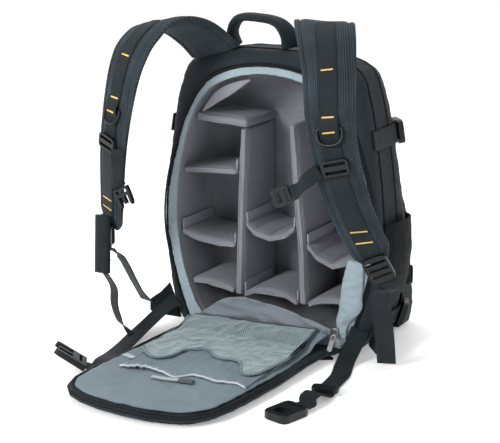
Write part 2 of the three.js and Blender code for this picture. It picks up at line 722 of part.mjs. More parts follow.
// A slotted plate in its own x and z, extruded through its thickness
function slottedPlate(width, tall, thick, slots, corner) {
  const shape = new THREE.Shape();
  roundedOutline(shape, 0, 0, width, tall, corner);
  for (const slot of slots) {
    const hole = new THREE.Path();
    roundedOutline(hole, slot.x ?? 0, slot.z, slot.wide, slot.tall, Math.min(1, slot.tall / 3));
    shape.holes.push(hole);
  }
  return uprightPlate(shape, thick);
}

function roundedOutline(path, x, y, width, tall, r) {
  const w = width / 2;
  const h = tall / 2;
  path.moveTo(x - w + r, y - h);
  path.lineTo(x + w - r, y - h);
  path.quadraticCurveTo(x + w, y - h, x + w, y - h + r);
  path.lineTo(x + w, y + h - r);
  path.quadraticCurveTo(x + w, y + h, x + w - r, y + h);
  path.lineTo(x - w + r, y + h);
  path.quadraticCurveTo(x - w, y + h, x - w, y + h - r);
  path.lineTo(x - w, y - h + r);
  path.quadraticCurveTo(x - w, y - h, x - w + r, y - h);
}

// A ring of round wire: a straight bar on top and a rounded drop below it
function ringGeometry() {
  const shape = new THREE.Path();
  const w = RING_HALF - RING_WIRE;
  const drop = RING_DROP - 2 * RING_WIRE;
  shape.moveTo(-w + 5, 0);
  shape.lineTo(w - 5, 0);
  shape.bezierCurveTo(w, 0, w, -2, w, -6);
  shape.bezierCurveTo(w, -drop * 0.8, w * 0.7, -drop, 0, -drop);
  shape.bezierCurveTo(-w * 0.7, -drop, -w, -drop * 0.8, -w, -6);
  shape.bezierCurveTo(-w, -2, -w, 0, -w + 5, 0);
  const path = shape.getPoints(5).slice(0, -1);
  const sides = 6;
  const rings = path.map((p, i) => {
    const before = path[(i + path.length - 1) % path.length];
    const after = path[(i + 1) % path.length];
    const normal = new THREE.Vector2(after.y - before.y, before.x - after.x).normalize();
    return Array.from({ length: sides }, (_, k) => {
      const angle = (2 * Math.PI * k) / sides;
      const c = Math.cos(angle) * RING_WIRE;
      return V(p.x + normal.x * c, Math.sin(angle) * RING_WIRE, p.y + normal.y * c);
    });
  });
  return solidFromRings(rings, 'joined');
}

const RING_TILT = THREE.MathUtils.degToRad(8);

function makeShoulderStrap(side, word) {
  const stations = strapStations(side);
  const web = stations.slice(6, LOCK_STATION);
  const pad = sweep(stations, STRAP_WIDE, STRAP_THICK, () => 0, 4, WEB_WIDE / 2 + 0.7);
  place(`shoulder_strap_${word}`, pad, 'cloth');
  const ringStation = stations[RING_STATION];
  const lift = (s) => {
    const away = s.middle.distanceTo(ringStation.middle);
    return mix(WEB_OVER_RING, WEB_REST, ease((away - 1) / 14));
  };
  place(`strap_webbing_${word}`, sweep(web.map((s) => ({ ...s, wide: 1 })), WEB_WIDE, WEB_THICK, lift),
    'webbing');
  const ring = place(`d_ring_${word}`, ringGeometry(), 'plastic');
  ring.applyMatrix4(frameOf(ringStation, 0, RING_REST)
    .multiply(new THREE.Matrix4().makeRotationX(-RING_TILT)));
}

// Sternum slider, ladder lock and buckle halves are slotted plates
const CROSS_SLOT = 4;

function slotRow(wide, levels) {
  return levels.map((z) => ({ wide, tall: CROSS_SLOT, z }));
}

// A plug with a middle tongue and two side prongs, its webbing slot near its foot
function plugGeometry(wide, long, thick) {
  const w = wide / 2;
  const foot = -long / 2;
  const waist = foot + long * 0.45;
  const tip = long / 2;
  const half = [
    [0, foot], [w, foot], [w, waist], [w * 0.95, tip - 5], [w * 0.78, tip], [w * 0.6, tip - 3],
    [w * 0.62, waist], [w * 0.16, waist], [w * 0.16, tip - 4], [0, tip - 4],
  ];
  const shape = new THREE.Shape(half.concat(half.slice(1, -1).reverse().map(([x, z]) => [-x, z]))
    .map(([x, z]) => new THREE.Vector2(x, z)));
  const slot = new THREE.Path();
  roundedOutline(slot, 0, foot + long * 0.2, wide * 0.7, CROSS_SLOT, 1);
  shape.holes.push(slot);
  return uprightPlate(shape, thick);
}

function uprightPlate(shape, thick) {
  const geometry = new THREE.ExtrudeGeometry(shape, {
    depth: thick, bevelEnabled: false, curveSegments: 2,
  });
  geometry.translate(0, 0, -thick / 2);
  geometry.rotateX(Math.PI / 2);
  return geometry;
}

function socketGeometry(wide, long, thick) {
  const slots = [
    { wide: wide * 0.7, tall: CROSS_SLOT, z: -long * 0.34 },
    { wide: wide * 0.56, tall: long * 0.3, z: long * 0.16 },
  ];
  return slottedPlate(wide, long, thick, slots, wide * 0.22);
}

// The frame of a plate from its middle, its long direction and the direction out of its face
function plateFrame(middle, along, out) {
  const z = V(...along).normalize();
  const y = V(...out).addScaledVector(z, -V(...out).dot(z)).normalize().negate();
  const x = y.clone().cross(z);
  return new THREE.Matrix4().makeBasis(x, y, z).setPosition(middle);
}

function placeAt(name, geometry, finish, matrix) {
  place(name, geometry, finish).applyMatrix4(matrix);
}

// Routes of free webbing, in the columns of the strap table
// Its ends may be points that are worked out from the piece it reaches.
function routeRows(side, rows, ends = []) {
  const sized = rows.map((r) => ({
    x: side * r.out * BAG_HALF,
    y: FRONT_Y - r.forward * STRAP_REACH,
    z: r.up * BAG_TALL,
    across: [r.across[0], side * r.across[1], side * r.across[2]],
    wide: r.wide,
  }));
  return [...sized, ...ends];
}

const FLOOR_UP = (BELT_THICK / 2 + 0.9) / BAG_TALL;

const ADJUSTER = {
  right: [
    { out: 1.19, forward: 0.5, up: 0.29, across: [1, 0.3, 0] },
    { out: 1.16, forward: 0.34, up: 0.2, across: [1, 0.3, 0] },
    { out: 1.13, forward: 0.17, up: 0.11, across: [1, 0.3, 0] },
    { out: 1.11, forward: 0.05, up: 0.012, across: [1, 0.3, 0] },
  ],
  left: [
    { out: 1.165, forward: 0.56, up: 0.29, across: [1, 0.3, 0.2] },
    { out: 1.14, forward: 0.41, up: 0.215, across: [1, 0.3, 0.3] },
    { out: 1.135, forward: 0.25, up: 0.15, across: [1, 0.3, 0.3] },
    { out: 1.12, forward: 0.125, up: 0.098, across: [1, 0.1, 0.2] },
  ],
};

// Corner wings of doubled cloth that hold the lower ends of the adjusters
// Columns: reach from the shell to the tip, depth behind the front plane, low and high as shares
// of BAG_TALL.
const WING = {
  right: [
    { reach: 0, back: 20, low: 0.04, high: 0.13, thick: 6 },
    { reach: 0.5, back: 10, low: 0.022, high: 0.085, thick: 5 },
    { reach: 1, back: 2, low: 0.01, high: 0.045, thick: 4 },
  ],
  left: [
    { reach: 0, back: 12, low: 0.03, high: 0.155, thick: 6 },
    { reach: 0.5, back: 0, low: 0.04, high: 0.125, thick: 5 },
    { reach: 1, back: -9, low: 0.055, high: 0.1, thick: 4 },
  ],
};

function makeWing(side, word) {
  const tip = 1.105 * BAG_HALF;
  const rings = WING[word].map(({ reach, back, low, high, thick }) => {
    const y = FRONT_Y + back;
    const [z0, z1] = [low * BAG_TALL, high * BAG_TALL];
    const chord = (z) => mix(halfAt(BAG, z0), halfAt(BAG, z1), (z - z0) / (z1 - z0));
    const bulges = [0.2, 0.4, 0.6, 0.8].map((t) => mix(z0, z1, t))
      .map((z) => halfAt(BAG, z) - chord(z));
    const clear = Math.max(0, ...bulges) + 2 * GAP;
    return padSection(y - thick / 2, y + thick / 2, z0, z1, 1.5)
      .map(([u, v]) => V(side * mix(chord(v) + clear, tip, reach), u, v));
  });
  place(`corner_wing_${word}`, solidFromRings(rings), 'cloth');
}

function makeLockAndAdjuster(side, word) {
  const stations = strapStations(side);
  const last = stations[LOCK_STATION];
  const down = last.tangent.clone();
  const middle = at(last, 0, LOCK_REST).addScaledVector(down, LOCK_TALL / 2 - 4);
  const frame = frameOf(last, 0, 0).setPosition(middle);
  placeAt(`ladder_lock_${word}`, slottedPlate(LOCK_WIDE, LOCK_TALL, LOCK_THICK, [
    ...slotRow(WEB_WIDE + 2, [LOCK_TALL * 0.28, LOCK_TALL * 0.02, -LOCK_TALL * 0.24]),
  ], 7), 'plastic', frame);
  const starts = [2 * GAP, 12].map((away) => {
    const p = middle.clone().addScaledVector(down, LOCK_TALL / 2 + away);
    return { x: p.x, y: p.y, z: p.z, across: last.across.toArray() };
  });
  const rows = [...starts, ...routeRows(side, ADJUSTER[word])];
  place(`adjuster_${word}`, sweep(stationsOf(rows, 3), WEB_WIDE, WEB_THICK), 'webbing');
}

// Sternum strap: a slider on each strap with a short webbing and its buckle half
const STERNUM = {
  right: {
    start: 8, end: { out: 0.65, forward: 1.1, up: 0.625 }, along: [-1, 0, -0.45], across: [0, 0.3, 1],
  },
  left: {
    start: 11.5, end: { out: 0.87, forward: 1.1, up: 0.575 }, along: [0.45, 0, -0.9], across: [-0.8, 0, 0.5],
  },
};

function makeSternum(side, word) {
  const station = strapStations(side)[SLIDER_STATION];
  const rest = WEB_REST + WEB_THICK / 2 + GAP + LOCK_THICK / 2;
  const frame = frameOf(station, 0, rest);
  const slider = slottedPlate(WEB_WIDE + 9, 20, LOCK_THICK, slotRow(WEB_WIDE + 2, [5, -5]), 5);
  placeAt(`sternum_slider_${word}`, slider, 'plastic', frame);
  const { start, end, along, across } = STERNUM[word];
  const first = at(station, -side * (WEB_WIDE / 2 + start), rest);
  const target = V(side * end.out * BAG_HALF, FRONT_Y - end.forward * STRAP_REACH,
    end.up * BAG_TALL);
  const middle = first.clone().lerp(target, 0.5);
  const approach = target.clone().addScaledVector(V(...along).normalize(), -8);
  const rows = [first, middle, approach, target].map((p) => ({ x: p.x, y: p.y, z: p.z, across }));
  rows[1].y -= 3;
  place(`sternum_webbing_${word}`, sweep(stationsOf(rows, 3), WEB_WIDE * 0.8, WEB_THICK), 'webbing');
  const long = 26;
  const seat = target.clone().addScaledVector(V(...along).normalize(), long / 2 + 2 * GAP);
  const geometry = side > 0 ? socketGeometry(24, long, 8) : plugGeometry(24, long, 6);
  placeAt(`sternum_buckle_${word}`, geometry, 'plastic', plateFrame(seat, along, [0, -1, 0]));
}

// Spare webbing of the left strap: a folded bundle with its loose end
const SPARE = {
  bundle: [
    { out: 1.175, forward: 0.848, up: 0.45, across: [1, -0.2, 0] },
    { out: 1.185, forward: 0.848, up: 0.355, across: [1, -0.2, 0] },
    { out: 1.195, forward: 0.848, up: 0.252, across: [1, -0.2, 0] },
  ],
  tail: [
    { out: 1.17, forward: 0.84, up: 0.2505, across: [0.9, 0.4, 0] },
    { out: 1.145, forward: 0.74, up: 0.19, across: [0.9, 0.4, 0] },
    { out: 1.145, forward: 0.73, up: 0.135, across: [0.9, 0.4, 0] },
    { out: 1.09, forward: 0.73, up: 0.08, across: [0.9, 0.4, 0.2] },
    { out: 0.98, forward: 0.72, up: 0.03, across: [0.5, 0.8, 0.3] },
  ],
};

function makeSpareWebbing() {
  const bundle = stationsOf(routeRows(-1, SPARE.bundle), 3);
  place('webbing_bundle', sweep(bundle, WEB_WIDE * 0.9, 9, () => 0, 3), 'webbing');
  const tail = stationsOf(routeRows(-1, SPARE.tail), 3);
  place('webbing_tail', sweep(tail, WEB_WIDE * 0.8, WEB_THICK), 'webbing');
}

// Waist belt halves that lie on the floor
const BELT = {
  right: [
    { out: 0.86, forward: 0.0175, up: 0.107, across: [1, 0, 0] },
    { out: 0.83, forward: 0.05, up: 0.065, across: [1, 0, 0] },
    { out: 0.8, forward: 0.15, up: 0.017, across: [1, 0.1, 0] },
    { out: 0.825, forward: 0.32, up: FLOOR_UP, across: [1, 0.2, 0] },
    { out: 0.88, forward: 0.55, up: FLOOR_UP, across: [1, 0.1, 0] },
    { out: 0.92, forward: 0.95, up: FLOOR_UP, across: [1, 0, 0] },
    { out: 0.96, forward: 1.2, up: 0.012, across: [1, -0.1, 0] },
    { out: 0.95, forward: 1.36, up: 0.035, across: [1, -0.2, 0] },
    { out: 0.935, forward: 1.45, up: 0.026, across: [1, -0.25, 0] },
  ],
  left: [
    { out: 0.86, forward: 0.009, up: 0.107, across: [1, 0, 0.2] },
    { out: 0.92, forward: 0.12, up: 0.085, across: [1, 0.5, 0.2] },
    { out: 1.01, forward: 0.45, up: 0.03, across: [1, 0.4, 0.1] },
    { out: 1, forward: 0.8, up: FLOOR_UP, across: [1, 0, 0] },
    { out: 0.955, forward: 1.15, up: FLOOR_UP, across: [1, -0.1, 0] },
    { out: 0.905, forward: 1.42, up: 0.012, across: [1, 0.1, 0] },
  ],
};
const BUCKLE_PLACE = {
  right: { out: 0.885, forward: 1.79, up: 0.0135, along: [-0.27, -1, 0], face: [0, 0, 1] },
  left: { out: 1.055, forward: 1.74, up: 0.05, along: [-0.6, -0.4, 0.5], face: [0.3, 0.2, 0.86] },
};

const SLIDER_PLACE = 11;

function makeBelt(side, word) {
  const seat = BUCKLE_PLACE[word];
  const middle = V(side * seat.out * BAG_HALF, FRONT_Y - seat.forward * STRAP_REACH,
    seat.up * BAG_TALL);
  const frame = plateFrame(middle, seat.along, seat.face);
  const geometry = side > 0
    ? socketGeometry(BUCKLE_WIDE, BUCKLE_LONG, BUCKLE_THICK)
    : plugGeometry(BUCKLE_WIDE, BUCKLE_LONG, BUCKLE_THICK * 0.8);
  placeAt(`waist_buckle_${word}`, geometry, 'plastic', frame);
  const x = new THREE.Vector3().setFromMatrixColumn(frame, 0);
  if (x.x < 0) x.negate();
  const lowest = BELT_THICK + 0.5 + (BELT_WIDE / 2) * Math.abs(x.z);
  const ends = [16, 2 * GAP].map((away) => {
    const p = middle.clone()
      .addScaledVector(V(...seat.along).normalize(), -(BUCKLE_LONG / 2 + away));
    return { x: p.x, y: p.y, z: Math.max(lowest, p.z), across: x.toArray() };
  });
  const stations = stationsOf(routeRows(side, BELT[word], ends), side > 0 ? 2 : 3);
  place(`waist_belt_${word}`, sweep(stations, BELT_WIDE, BELT_THICK), 'webbing');
  if (side > 0) {
    const under = stations[SLIDER_PLACE];
    const slider = slottedPlate(BELT_WIDE + 8, 20, LOCK_THICK, slotRow(BELT_WIDE + 1, [5, -5]), 5);
    const up = Math.sign(under.out.z);
    placeAt('waist_slider', slider, 'plastic', plateFrame(
      at(under, 0, up * (BELT_THICK / 2 + 4 * GAP + LOCK_THICK / 2)),
      under.tangent.toArray(), under.out.clone().multiplyScalar(up).toArray(),
    ));
  }
}

// Compression straps round the far corners, with a closed buckle on each
function cornerPoint(turn, z, off) {
  const middleY = farAt(z) - FAR_ROUND;
  if (turn <= 0) return V(halfAt(BAG, z) + off, middleY + turn, z);
  const reach = FAR_ROUND + off;
  return V(halfAt(BAG, z) - FAR_ROUND + reach * Math.cos(turn), middleY + reach * Math.sin(turn), z);
}

function makeSideStrap(side, word, level, z) {
  const turns = [-62, -30, 0, 0.3, 0.6, 0.9, 1.2];
  const off = (level === 'upper' ? 0 : 3 * GAP) + WEB_THICK / 2;
  const half = SIDE_STRAP_WIDE / 2;
  const edge = (turn, dz) => cornerPoint(turn, z + dz, off);
  const rings = turns.map((turn) => {
    const low = edge(turn, -half);
    const high = edge(turn, half);
    const outLow = cornerPoint(turn, z - half, off + WEB_THICK);
    const outHigh = cornerPoint(turn, z + half, off + WEB_THICK);
    return [low, high, outHigh, outLow].map((p) => V(side * p.x, p.y, p.z));
  });
  place(`${level}_strap_${word}`, solidFromRings(rings), 'webbing');
  const turn = level === 'upper' ? 0.72 : 0.4;
  const lean = (halfAt(BAG, z - half) - halfAt(BAG, z + half)) / SIDE_STRAP_WIDE;
  const middle = cornerPoint(turn, z, off + WEB_THICK + 3.7);
  middle.x *= side;
  const out = [side * Math.cos(turn), Math.sin(turn), lean];
  const along = [-side * Math.sin(turn), Math.cos(turn), 0];
  placeAt(`${level}_buckle_${word}`, slottedPlate(SIDE_STRAP_WIDE + 7, 36, 7, [
    ...slotRow(SIDE_STRAP_WIDE, [12, -12]),
  ], 6), 'plastic', plateFrame(middle, along, out));
}

// Rolled spare end of the lower right compression strap
function makeRoll() {
  const z = LOWER_STRAP_Z + 1.6 * SIDE_STRAP_WIDE;
  const radius = 8;
  const roll = new THREE.CylinderGeometry(radius, radius, SIDE_STRAP_WIDE, 14);
  roll.rotateX(Math.PI / 2);
  const seat = cornerPoint(0.62, z + SIDE_STRAP_WIDE / 2, radius);
  placeAt('webbing_roll', roll, 'webbing', new THREE.Matrix4().setPosition(seat));
}

// Carrying handle: a padded loop on the bag's top edge
// Columns: x as a share of HANDLE_HALF from HANDLE_X, up as a share of HANDLE_RISE.
const HANDLE_ROWS = [
  { x: -0.96, up: -0.01, lean: 0, across: [0, 1, 0] },
  { x: -1.06, up: 0.45, lean: 0.5, across: [0, 1, 0] },
  { x: -0.76, up: 0.94, lean: 1, across: [0, 1, 0] },
  { x: 0, up: 1, lean: 1, across: [0.1, 1, 0] },
  { x: 0.66, up: 0.86, lean: 1, across: [0.3, 1, 0] },
  { x: 0.94, up: 0.48, lean: 0.6, across: [0.6, 0.8, 0] },
  { x: 0.96, up: 0.06, lean: 0, across: [0.7, 0.7, 0] },
];
const HANDLE_BACK = 13;
const HANDLE_LEAN = 9;

function makeHandle() {
  const rows = HANDLE_ROWS.map((r) => ({
    x: HANDLE_X + r.x * HANDLE_HALF,
    y: FRONT_Y + FRONT_ROUND + HANDLE_BACK - r.lean * HANDLE_LEAN,
    z: BAG_TALL + GAP + 1 + r.up * HANDLE_RISE,
    across: r.across,
  }));
  place('grab_handle', sweep(stationsOf(rows, 3), HANDLE_WIDE, HANDLE_THICK, () => 0, 3.2), 'webbing');
}

// Zip slider at the lower right corner of the opening, with its swinging pull
const PULL = { wide: 7, long: 25, thick: 1.8, lean: 42 };

function makeZip() {
  const x = 0.665 * BAG_HALF;
  const z = 0.09 * BAG_TALL;
  const slider = place('zip_slider', new THREE.BoxGeometry(8, 5, 12), 'metal');
  slider.position.set(x, FRONT_Y - SHEET - 2 * GAP - 4.9, z);
  const eye = [{ wide: 3, tall: 6, z: PULL.long * 0.28 }];
  const pull = slottedPlate(PULL.wide, PULL.long, PULL.thick, eye, 3);
  const angle = THREE.MathUtils.degToRad(PULL.lean);
  const along = [0, Math.sin(angle), Math.cos(angle)];
  const top = V(x, FRONT_Y - SHEET - 3 * GAP - 6.4 - PULL.thick, z - 2);
  const middle = top.addScaledVector(V(...along), -PULL.long / 2);
  placeAt('zip_pull', pull, 'metal', plateFrame(middle, along, [0, -1, 0]));
}

// Everything of the bag in order
makeShell();
makeLiner();
makeRim();
makeInsert();
makeLip();
makeGusset();
makeFlap();
makeOrganizer();
makeHandle();
makeZip();
makeSpareWebbing();
makeRoll();
for (const [side, word] of [[-1, 'left'], [1, 'right']]) {
  makeSidePocket(`side_pocket_${word}`, side);
  makeShoulderStrap(side, word);
  makeLockAndAdjuster(side, word);
  makeSternum(side, word);
  makeWing(side, word);
  makeBelt(side, word);
  makeSideStrap(side, word, 'upper', UPPER_STRAP_Z);
  makeSideStrap(side, word, 'lower', LOWER_STRAP_Z);
}

export default group;
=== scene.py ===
# %% [markdown]
# # Dressing an opened camera backpack
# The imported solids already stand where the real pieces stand. This lesson reads them as a fixed
# frame, and makes cloth, foam, webbing, zips and moulded plastic around them, one cell at a time.
# Every length is in metres, and every piece takes its place from the solid that it dresses.

import json
import math

import bmesh
import bpy
import numpy as np
from mathutils import Matrix, Vector, noise


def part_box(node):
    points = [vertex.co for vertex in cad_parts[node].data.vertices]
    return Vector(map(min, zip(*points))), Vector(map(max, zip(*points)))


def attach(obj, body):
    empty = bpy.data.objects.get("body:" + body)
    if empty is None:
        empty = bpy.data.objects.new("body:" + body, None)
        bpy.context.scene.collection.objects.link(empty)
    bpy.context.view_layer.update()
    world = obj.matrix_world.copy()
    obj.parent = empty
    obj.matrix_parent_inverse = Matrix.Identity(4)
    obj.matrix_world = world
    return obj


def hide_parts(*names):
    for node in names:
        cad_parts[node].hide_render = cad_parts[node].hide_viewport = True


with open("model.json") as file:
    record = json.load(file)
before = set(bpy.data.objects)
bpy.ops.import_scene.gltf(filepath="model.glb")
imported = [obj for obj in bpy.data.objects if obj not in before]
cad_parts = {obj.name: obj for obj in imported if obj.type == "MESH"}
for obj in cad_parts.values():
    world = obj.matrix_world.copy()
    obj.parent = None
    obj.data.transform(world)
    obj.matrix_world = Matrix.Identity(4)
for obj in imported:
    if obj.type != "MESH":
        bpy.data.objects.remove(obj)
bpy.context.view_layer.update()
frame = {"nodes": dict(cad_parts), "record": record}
MM = 0.001

# %% [markdown]
# ## The camera
# The bag was photographed with a long lens, a little from its right and a little from above. The
# camera comes first, because everything after it is judged through it.

# %% Camera
LOOK_AT = Vector((-0.025, -0.060, 0.171))
AZIMUTH, ELEVATION, DISTANCE = math.radians(28.7), math.radians(14.2), 1.890

camera_data = bpy.data.cameras.new("studio_camera")
camera_data.lens = 100
camera_data.sensor_width = 36
camera = bpy.data.objects.new("studio_camera", camera_data)
bpy.context.scene.collection.objects.link(camera)
back = Vector((
    math.sin(AZIMUTH) * math.cos(ELEVATION),
    -math.cos(AZIMUTH) * math.cos(ELEVATION),
    math.sin(ELEVATION),
))
camera.location = LOOK_AT + back * DISTANCE
camera.rotation_mode = "QUATERNION"
camera.rotation_quaternion = (-back).to_track_quat("-Z", "Y")
bpy.context.scene.camera = camera
print("camera at", tuple(round(c, 3) for c in camera.location))

# %% [markdown]
# ## Colours and finishes
# Ripstop nylon, brushed lining and webbing all look flat when they get one colour. Each finish
# below mixes two near shades by soft noise, and lays its weave on as fine relief. The weave of cut
# cloth reads Object coordinates. Webbing and straps read their own UV map, in metres along and
# across, so that their ribs follow the strap round every bend.


# %% Small helpers for shader trees
def linear(hexcode):
    """A colour as it is written in a paint chart, as the shader wants it."""
    parts = [int(hexcode[i:i + 2], 16) / 255 for i in (1, 3, 5)]
    return [c / 12.92 if c <= 0.04045 else ((c + 0.055) / 1.055) ** 2.4 for c in parts] + [1]


class Finish:
    """A material with its shader, and short ways to add nodes to it."""

    def __init__(self, name, roughness, gloss=0.12):
        self.material = bpy.data.materials.new(name)
        self.material.use_nodes = True
        self.tree = self.material.node_tree
        self.shader = self.tree.nodes["Principled BSDF"]
        self.shader.inputs["Roughness"].default_value = roughness
        self.shader.inputs["Specular IOR Level"].default_value = gloss
        coordinates = self.tree.nodes.new("ShaderNodeTexCoord")
        self.place, self.uv = coordinates.outputs["Object"], coordinates.outputs["UV"]

    def node(self, kind, settings=(), **sockets):
        made = self.tree.nodes.new(kind)
        for key, value in dict(settings).items():
            setattr(made, key, value)
        for key, value in sockets.items():
            self.put(made.inputs[int(key[1:])] if key[0] == "i" and key[1:].isdigit()
                     else made.inputs[key.replace("_", " ")], value)
        return made

    def put(self, socket, value):
        if isinstance(value, bpy.types.NodeSocket):
            self.tree.links.new(value, socket)
        else:
            socket.default_value = value

    def math(self, operation, a, b=0.0):
        return self.node("ShaderNodeMath", {"operation": operation}, i0=a, i1=b).outputs[0]

    def cloud(self, scale, detail=3.0, source=None):
        return self.node("ShaderNodeTexNoise", Vector=source or self.place, Scale=scale,
                         Detail=detail).outputs["Fac"]

    def blend(self, share, low, high):
        mixer = self.node("ShaderNodeMix", {"data_type": "RGBA"}, i0=share, i6=low, i7=high)
        return mixer.outputs[2]

    def relief(self, height, distance, strength=1.0):
        bump = self.node("ShaderNodeBump", Height=height, Distance=distance, Strength=strength)
        self.tree.links.new(bump.outputs[0], self.shader.inputs["Normal"])


def threads(finish, pitch):
    """A woven lattice in Object coordinates that shows on a face of any direction."""
    split = finish.node("ShaderNodeSeparateXYZ", i0=finish.place)
    waves = [finish.math("SINE", finish.math("MULTIPLY", split.outputs[k], 2 * math.pi / pitch))
             for k in range(3)]
    pairs = [finish.math("MULTIPLY", waves[k], waves[(k + 1) % 3]) for k in range(3)]
    return finish.math("ADD", finish.math("ADD", pairs[0], pairs[1]), pairs[2])


# %% Finishes for woven cloth
def woven(name, dark, light, pitch, height, roughness=0.85, sheen=0.0, patches=14.0):
    finish = Finish(name, roughness)
    lattice = threads(finish, pitch)
    mottle = finish.math("ADD", finish.math("MULTIPLY", finish.cloud(patches), 0.8),
                         finish.math("MULTIPLY", finish.cloud(900.0, 1.0), 0.35))
    shade = finish.math("ADD", mottle, finish.math("MULTIPLY", lattice, 0.1))
    finish.put(finish.shader.inputs["Base Color"],
               finish.blend(shade, linear(dark), linear(light)))
    finish.relief(finish.math("ADD", finish.math("MULTIPLY", lattice, 0.35),
                              finish.cloud(420.0, 2.0)), height)
    finish.shader.inputs["Sheen Weight"].default_value = sheen
    finish.shader.inputs["Sheen Roughness"].default_value = 0.45
    return finish.material


OUTER = woven("outer_nylon", "#12181c", "#2b343a", 1.1 * MM, 0.3 * MM, 0.6, 0.03)
SIDE = woven("side_panel_cloth", "#0e1216", "#242a2f", 2.4 * MM, 0.5 * MM, 0.65, 0.03)
INSIDE = woven("brushed_lining", "#66686f", "#92949d", 0.9 * MM, 0.3 * MM, 0.95, 0.15)
BACK_LINING = woven("shaded_lining", "#686970", "#96979f", 0.9 * MM, 0.3 * MM, 0.95, 0.15)
PALE = woven("pale_lining_cloth", "#72828a", "#a3b2b9", 1.0 * MM, 0.2 * MM, 0.6, 0.1)
FOLD_LINING = woven("folded_lining", "#5f686f", "#868d96", 1.0 * MM, 0.25 * MM, 0.8, 0.1, 9.0)
FLAP_LINING = woven("flap_lining_cloth", "#56656d", "#7d8d95", 1.0 * MM, 0.2 * MM, 0.5, 0.08)
BINDING = woven("edge_binding", "#080a0c", "#181c20", 1.6 * MM, 0.35 * MM, 0.6, 0.02)
GREY_BINDING = woven("grey_binding", "#7c7e86", "#a5a7b0", 1.3 * MM, 0.3 * MM, 0.85, 0.1)
print("woven finishes", len(bpy.data.materials))


# %% Finishes that follow a strap
def ribbed(name, dark, light, pick, height, roughness=0.6):
    """Webbing: picks run across it, and a flatter selvage runs along each edge."""
    finish = Finish(name, roughness)
    split = finish.node("ShaderNodeSeparateXYZ", i0=finish.uv)
    across, along = split.outputs[0], split.outputs[1]
    slant = finish.math("ADD", along, finish.math("MULTIPLY", across, 0.5))
    picks = finish.math("SINE", finish.math("MULTIPLY", slant, 2 * math.pi / pick))
    rows = finish.math("SINE", finish.math("MULTIPLY", across, 2 * math.pi / (1.9 * pick)))
    cloth = finish.math("MULTIPLY", picks, finish.math("ADD", finish.math("MULTIPLY", rows, 0.3), 0.7))
    shade = finish.math("ADD", finish.math("MULTIPLY", cloth, 0.22), finish.cloud(30.0))
    finish.put(finish.shader.inputs["Base Color"], finish.blend(shade, linear(dark), linear(light)))
    finish.relief(cloth, height)
    finish.shader.inputs["Sheen Weight"].default_value = 0.03
    return finish.material


WEBBING = ribbed("strap_webbing", "#0e1316", "#262e33", 1.7 * MM, 0.35 * MM, 0.55)
ELASTIC = ribbed("white_elastic", "#98a2a5", "#cdd5d7", 1.5 * MM, 0.3 * MM, 0.8)


def corded(name, dark, light, cord, height, slant_from, slant):
    """Strap cloth: cords run along the strap, and lean over below its D-ring."""
    finish = Finish(name, 0.6)
    split = finish.node("ShaderNodeSeparateXYZ", i0=finish.uv)
    past = finish.math("MAXIMUM", finish.math("SUBTRACT", split.outputs[1], slant_from), 0.0)
    place = finish.math("ADD", split.outputs[0], finish.math("MULTIPLY", past, slant))
    cords = finish.math("SINE", finish.math("MULTIPLY", place, 2 * math.pi / cord))
    broken = finish.math("MULTIPLY", cords, finish.math("ADD", finish.cloud(160.0), 0.3))
    shade = finish.math("ADD", finish.math("MULTIPLY", broken, 0.28), finish.cloud(22.0))
    finish.put(finish.shader.inputs["Base Color"], finish.blend(shade, linear(dark), linear(light)))
    finish.relief(broken, height)
    finish.shader.inputs["Sheen Weight"].default_value = 0.03
    return finish.material


STRAP = corded("corded_strap_cloth", "#11171b", "#39444b", 2.9 * MM, 0.6 * MM, 0.22, 0.55)


# %% Finishes for plastic, thread, metal and net
def moulded(name, dark, light, roughness, gloss=0.12):
    finish = Finish(name, roughness, gloss)
    finish.put(finish.shader.inputs["Base Color"],
               finish.blend(finish.cloud(60.0), linear(dark), linear(light)))
    worn = finish.math("ADD", finish.math("MULTIPLY", finish.cloud(250.0), 0.25), roughness - 0.12)
    finish.put(finish.shader.inputs["Roughness"], worn)
    finish.relief(finish.cloud(2600.0, 1.0), 0.05 * MM)
    return finish.material


def net(name, thread, gap, pitch):
    """Knitted net: round holes in offset rows between raised threads; the holes take the gap colour,
    which is painted shade.
    """
    finish = Finish(name, 0.75)
    cells = finish.node("ShaderNodeTexVoronoi", {"feature": "F1"}, Vector=finish.place,
                        Scale=1 / pitch, Randomness=0.12).outputs["Distance"]
    # The holes get the gap colour: painted shade where the net opens.
    hole = finish.node("ShaderNodeMapRange", i0=cells, i1=0.24, i2=0.4).outputs[0]
    finish.put(finish.shader.inputs["Base Color"],
               finish.blend(finish.math("MULTIPLY", hole, finish.math(
                   "ADD", finish.math("MULTIPLY", finish.cloud(25.0), 0.5), 0.65)),
                   linear(gap), linear(thread)))
    finish.relief(hole, 0.5 * MM)
    finish.shader.inputs["Sheen Weight"].default_value = 0.02
    return finish.material


PLASTIC = moulded("black_acetal", "#060709", "#14171a", 0.34, 0.3)
THREAD = moulded("dark_thread", "#161b1f", "#2e363c", 0.6)
GREY_THREAD = moulded("grey_thread", "#77757c", "#9a979e", 0.8)
PALE_THREAD = moulded("pale_thread", "#9fabae", "#c9d2d4", 0.8)
YELLOW_THREAD = moulded("yellow_thread", "#c79b4c", "#f2d68c", 0.75)
# The net pocket's sheet is the flap lining's own colour, darkened as painted shade inside the pocket,
# and shows between the net's threads.
SHADED_NET_BACKING = woven("net_backing_in_shade", "#3c484d", "#5f6e74", 1.0 * MM, 0.2 * MM, 0.7)
NET_THREAD = moulded("pocket_net_thread", "#8d9da1", "#c0cdd0", 0.7)
# The near-black gap colour is painted shade in the holes of the net.
SIDE_NET = net("side_pocket_net", "#14191c", "#040506", 3.4 * MM)
NET_SHADE = woven("dark_grey_patch", "#3c4449", "#5a6469", 1.0 * MM, 0.2 * MM, 0.7)
METAL = moulded("zip_metal", "#8f9294", "#c9ccce", 0.3, 0.5)
METAL.node_tree.nodes["Principled BSDF"].inputs["Metallic"].default_value = 1.0
print("finishes", len(bpy.data.materials))

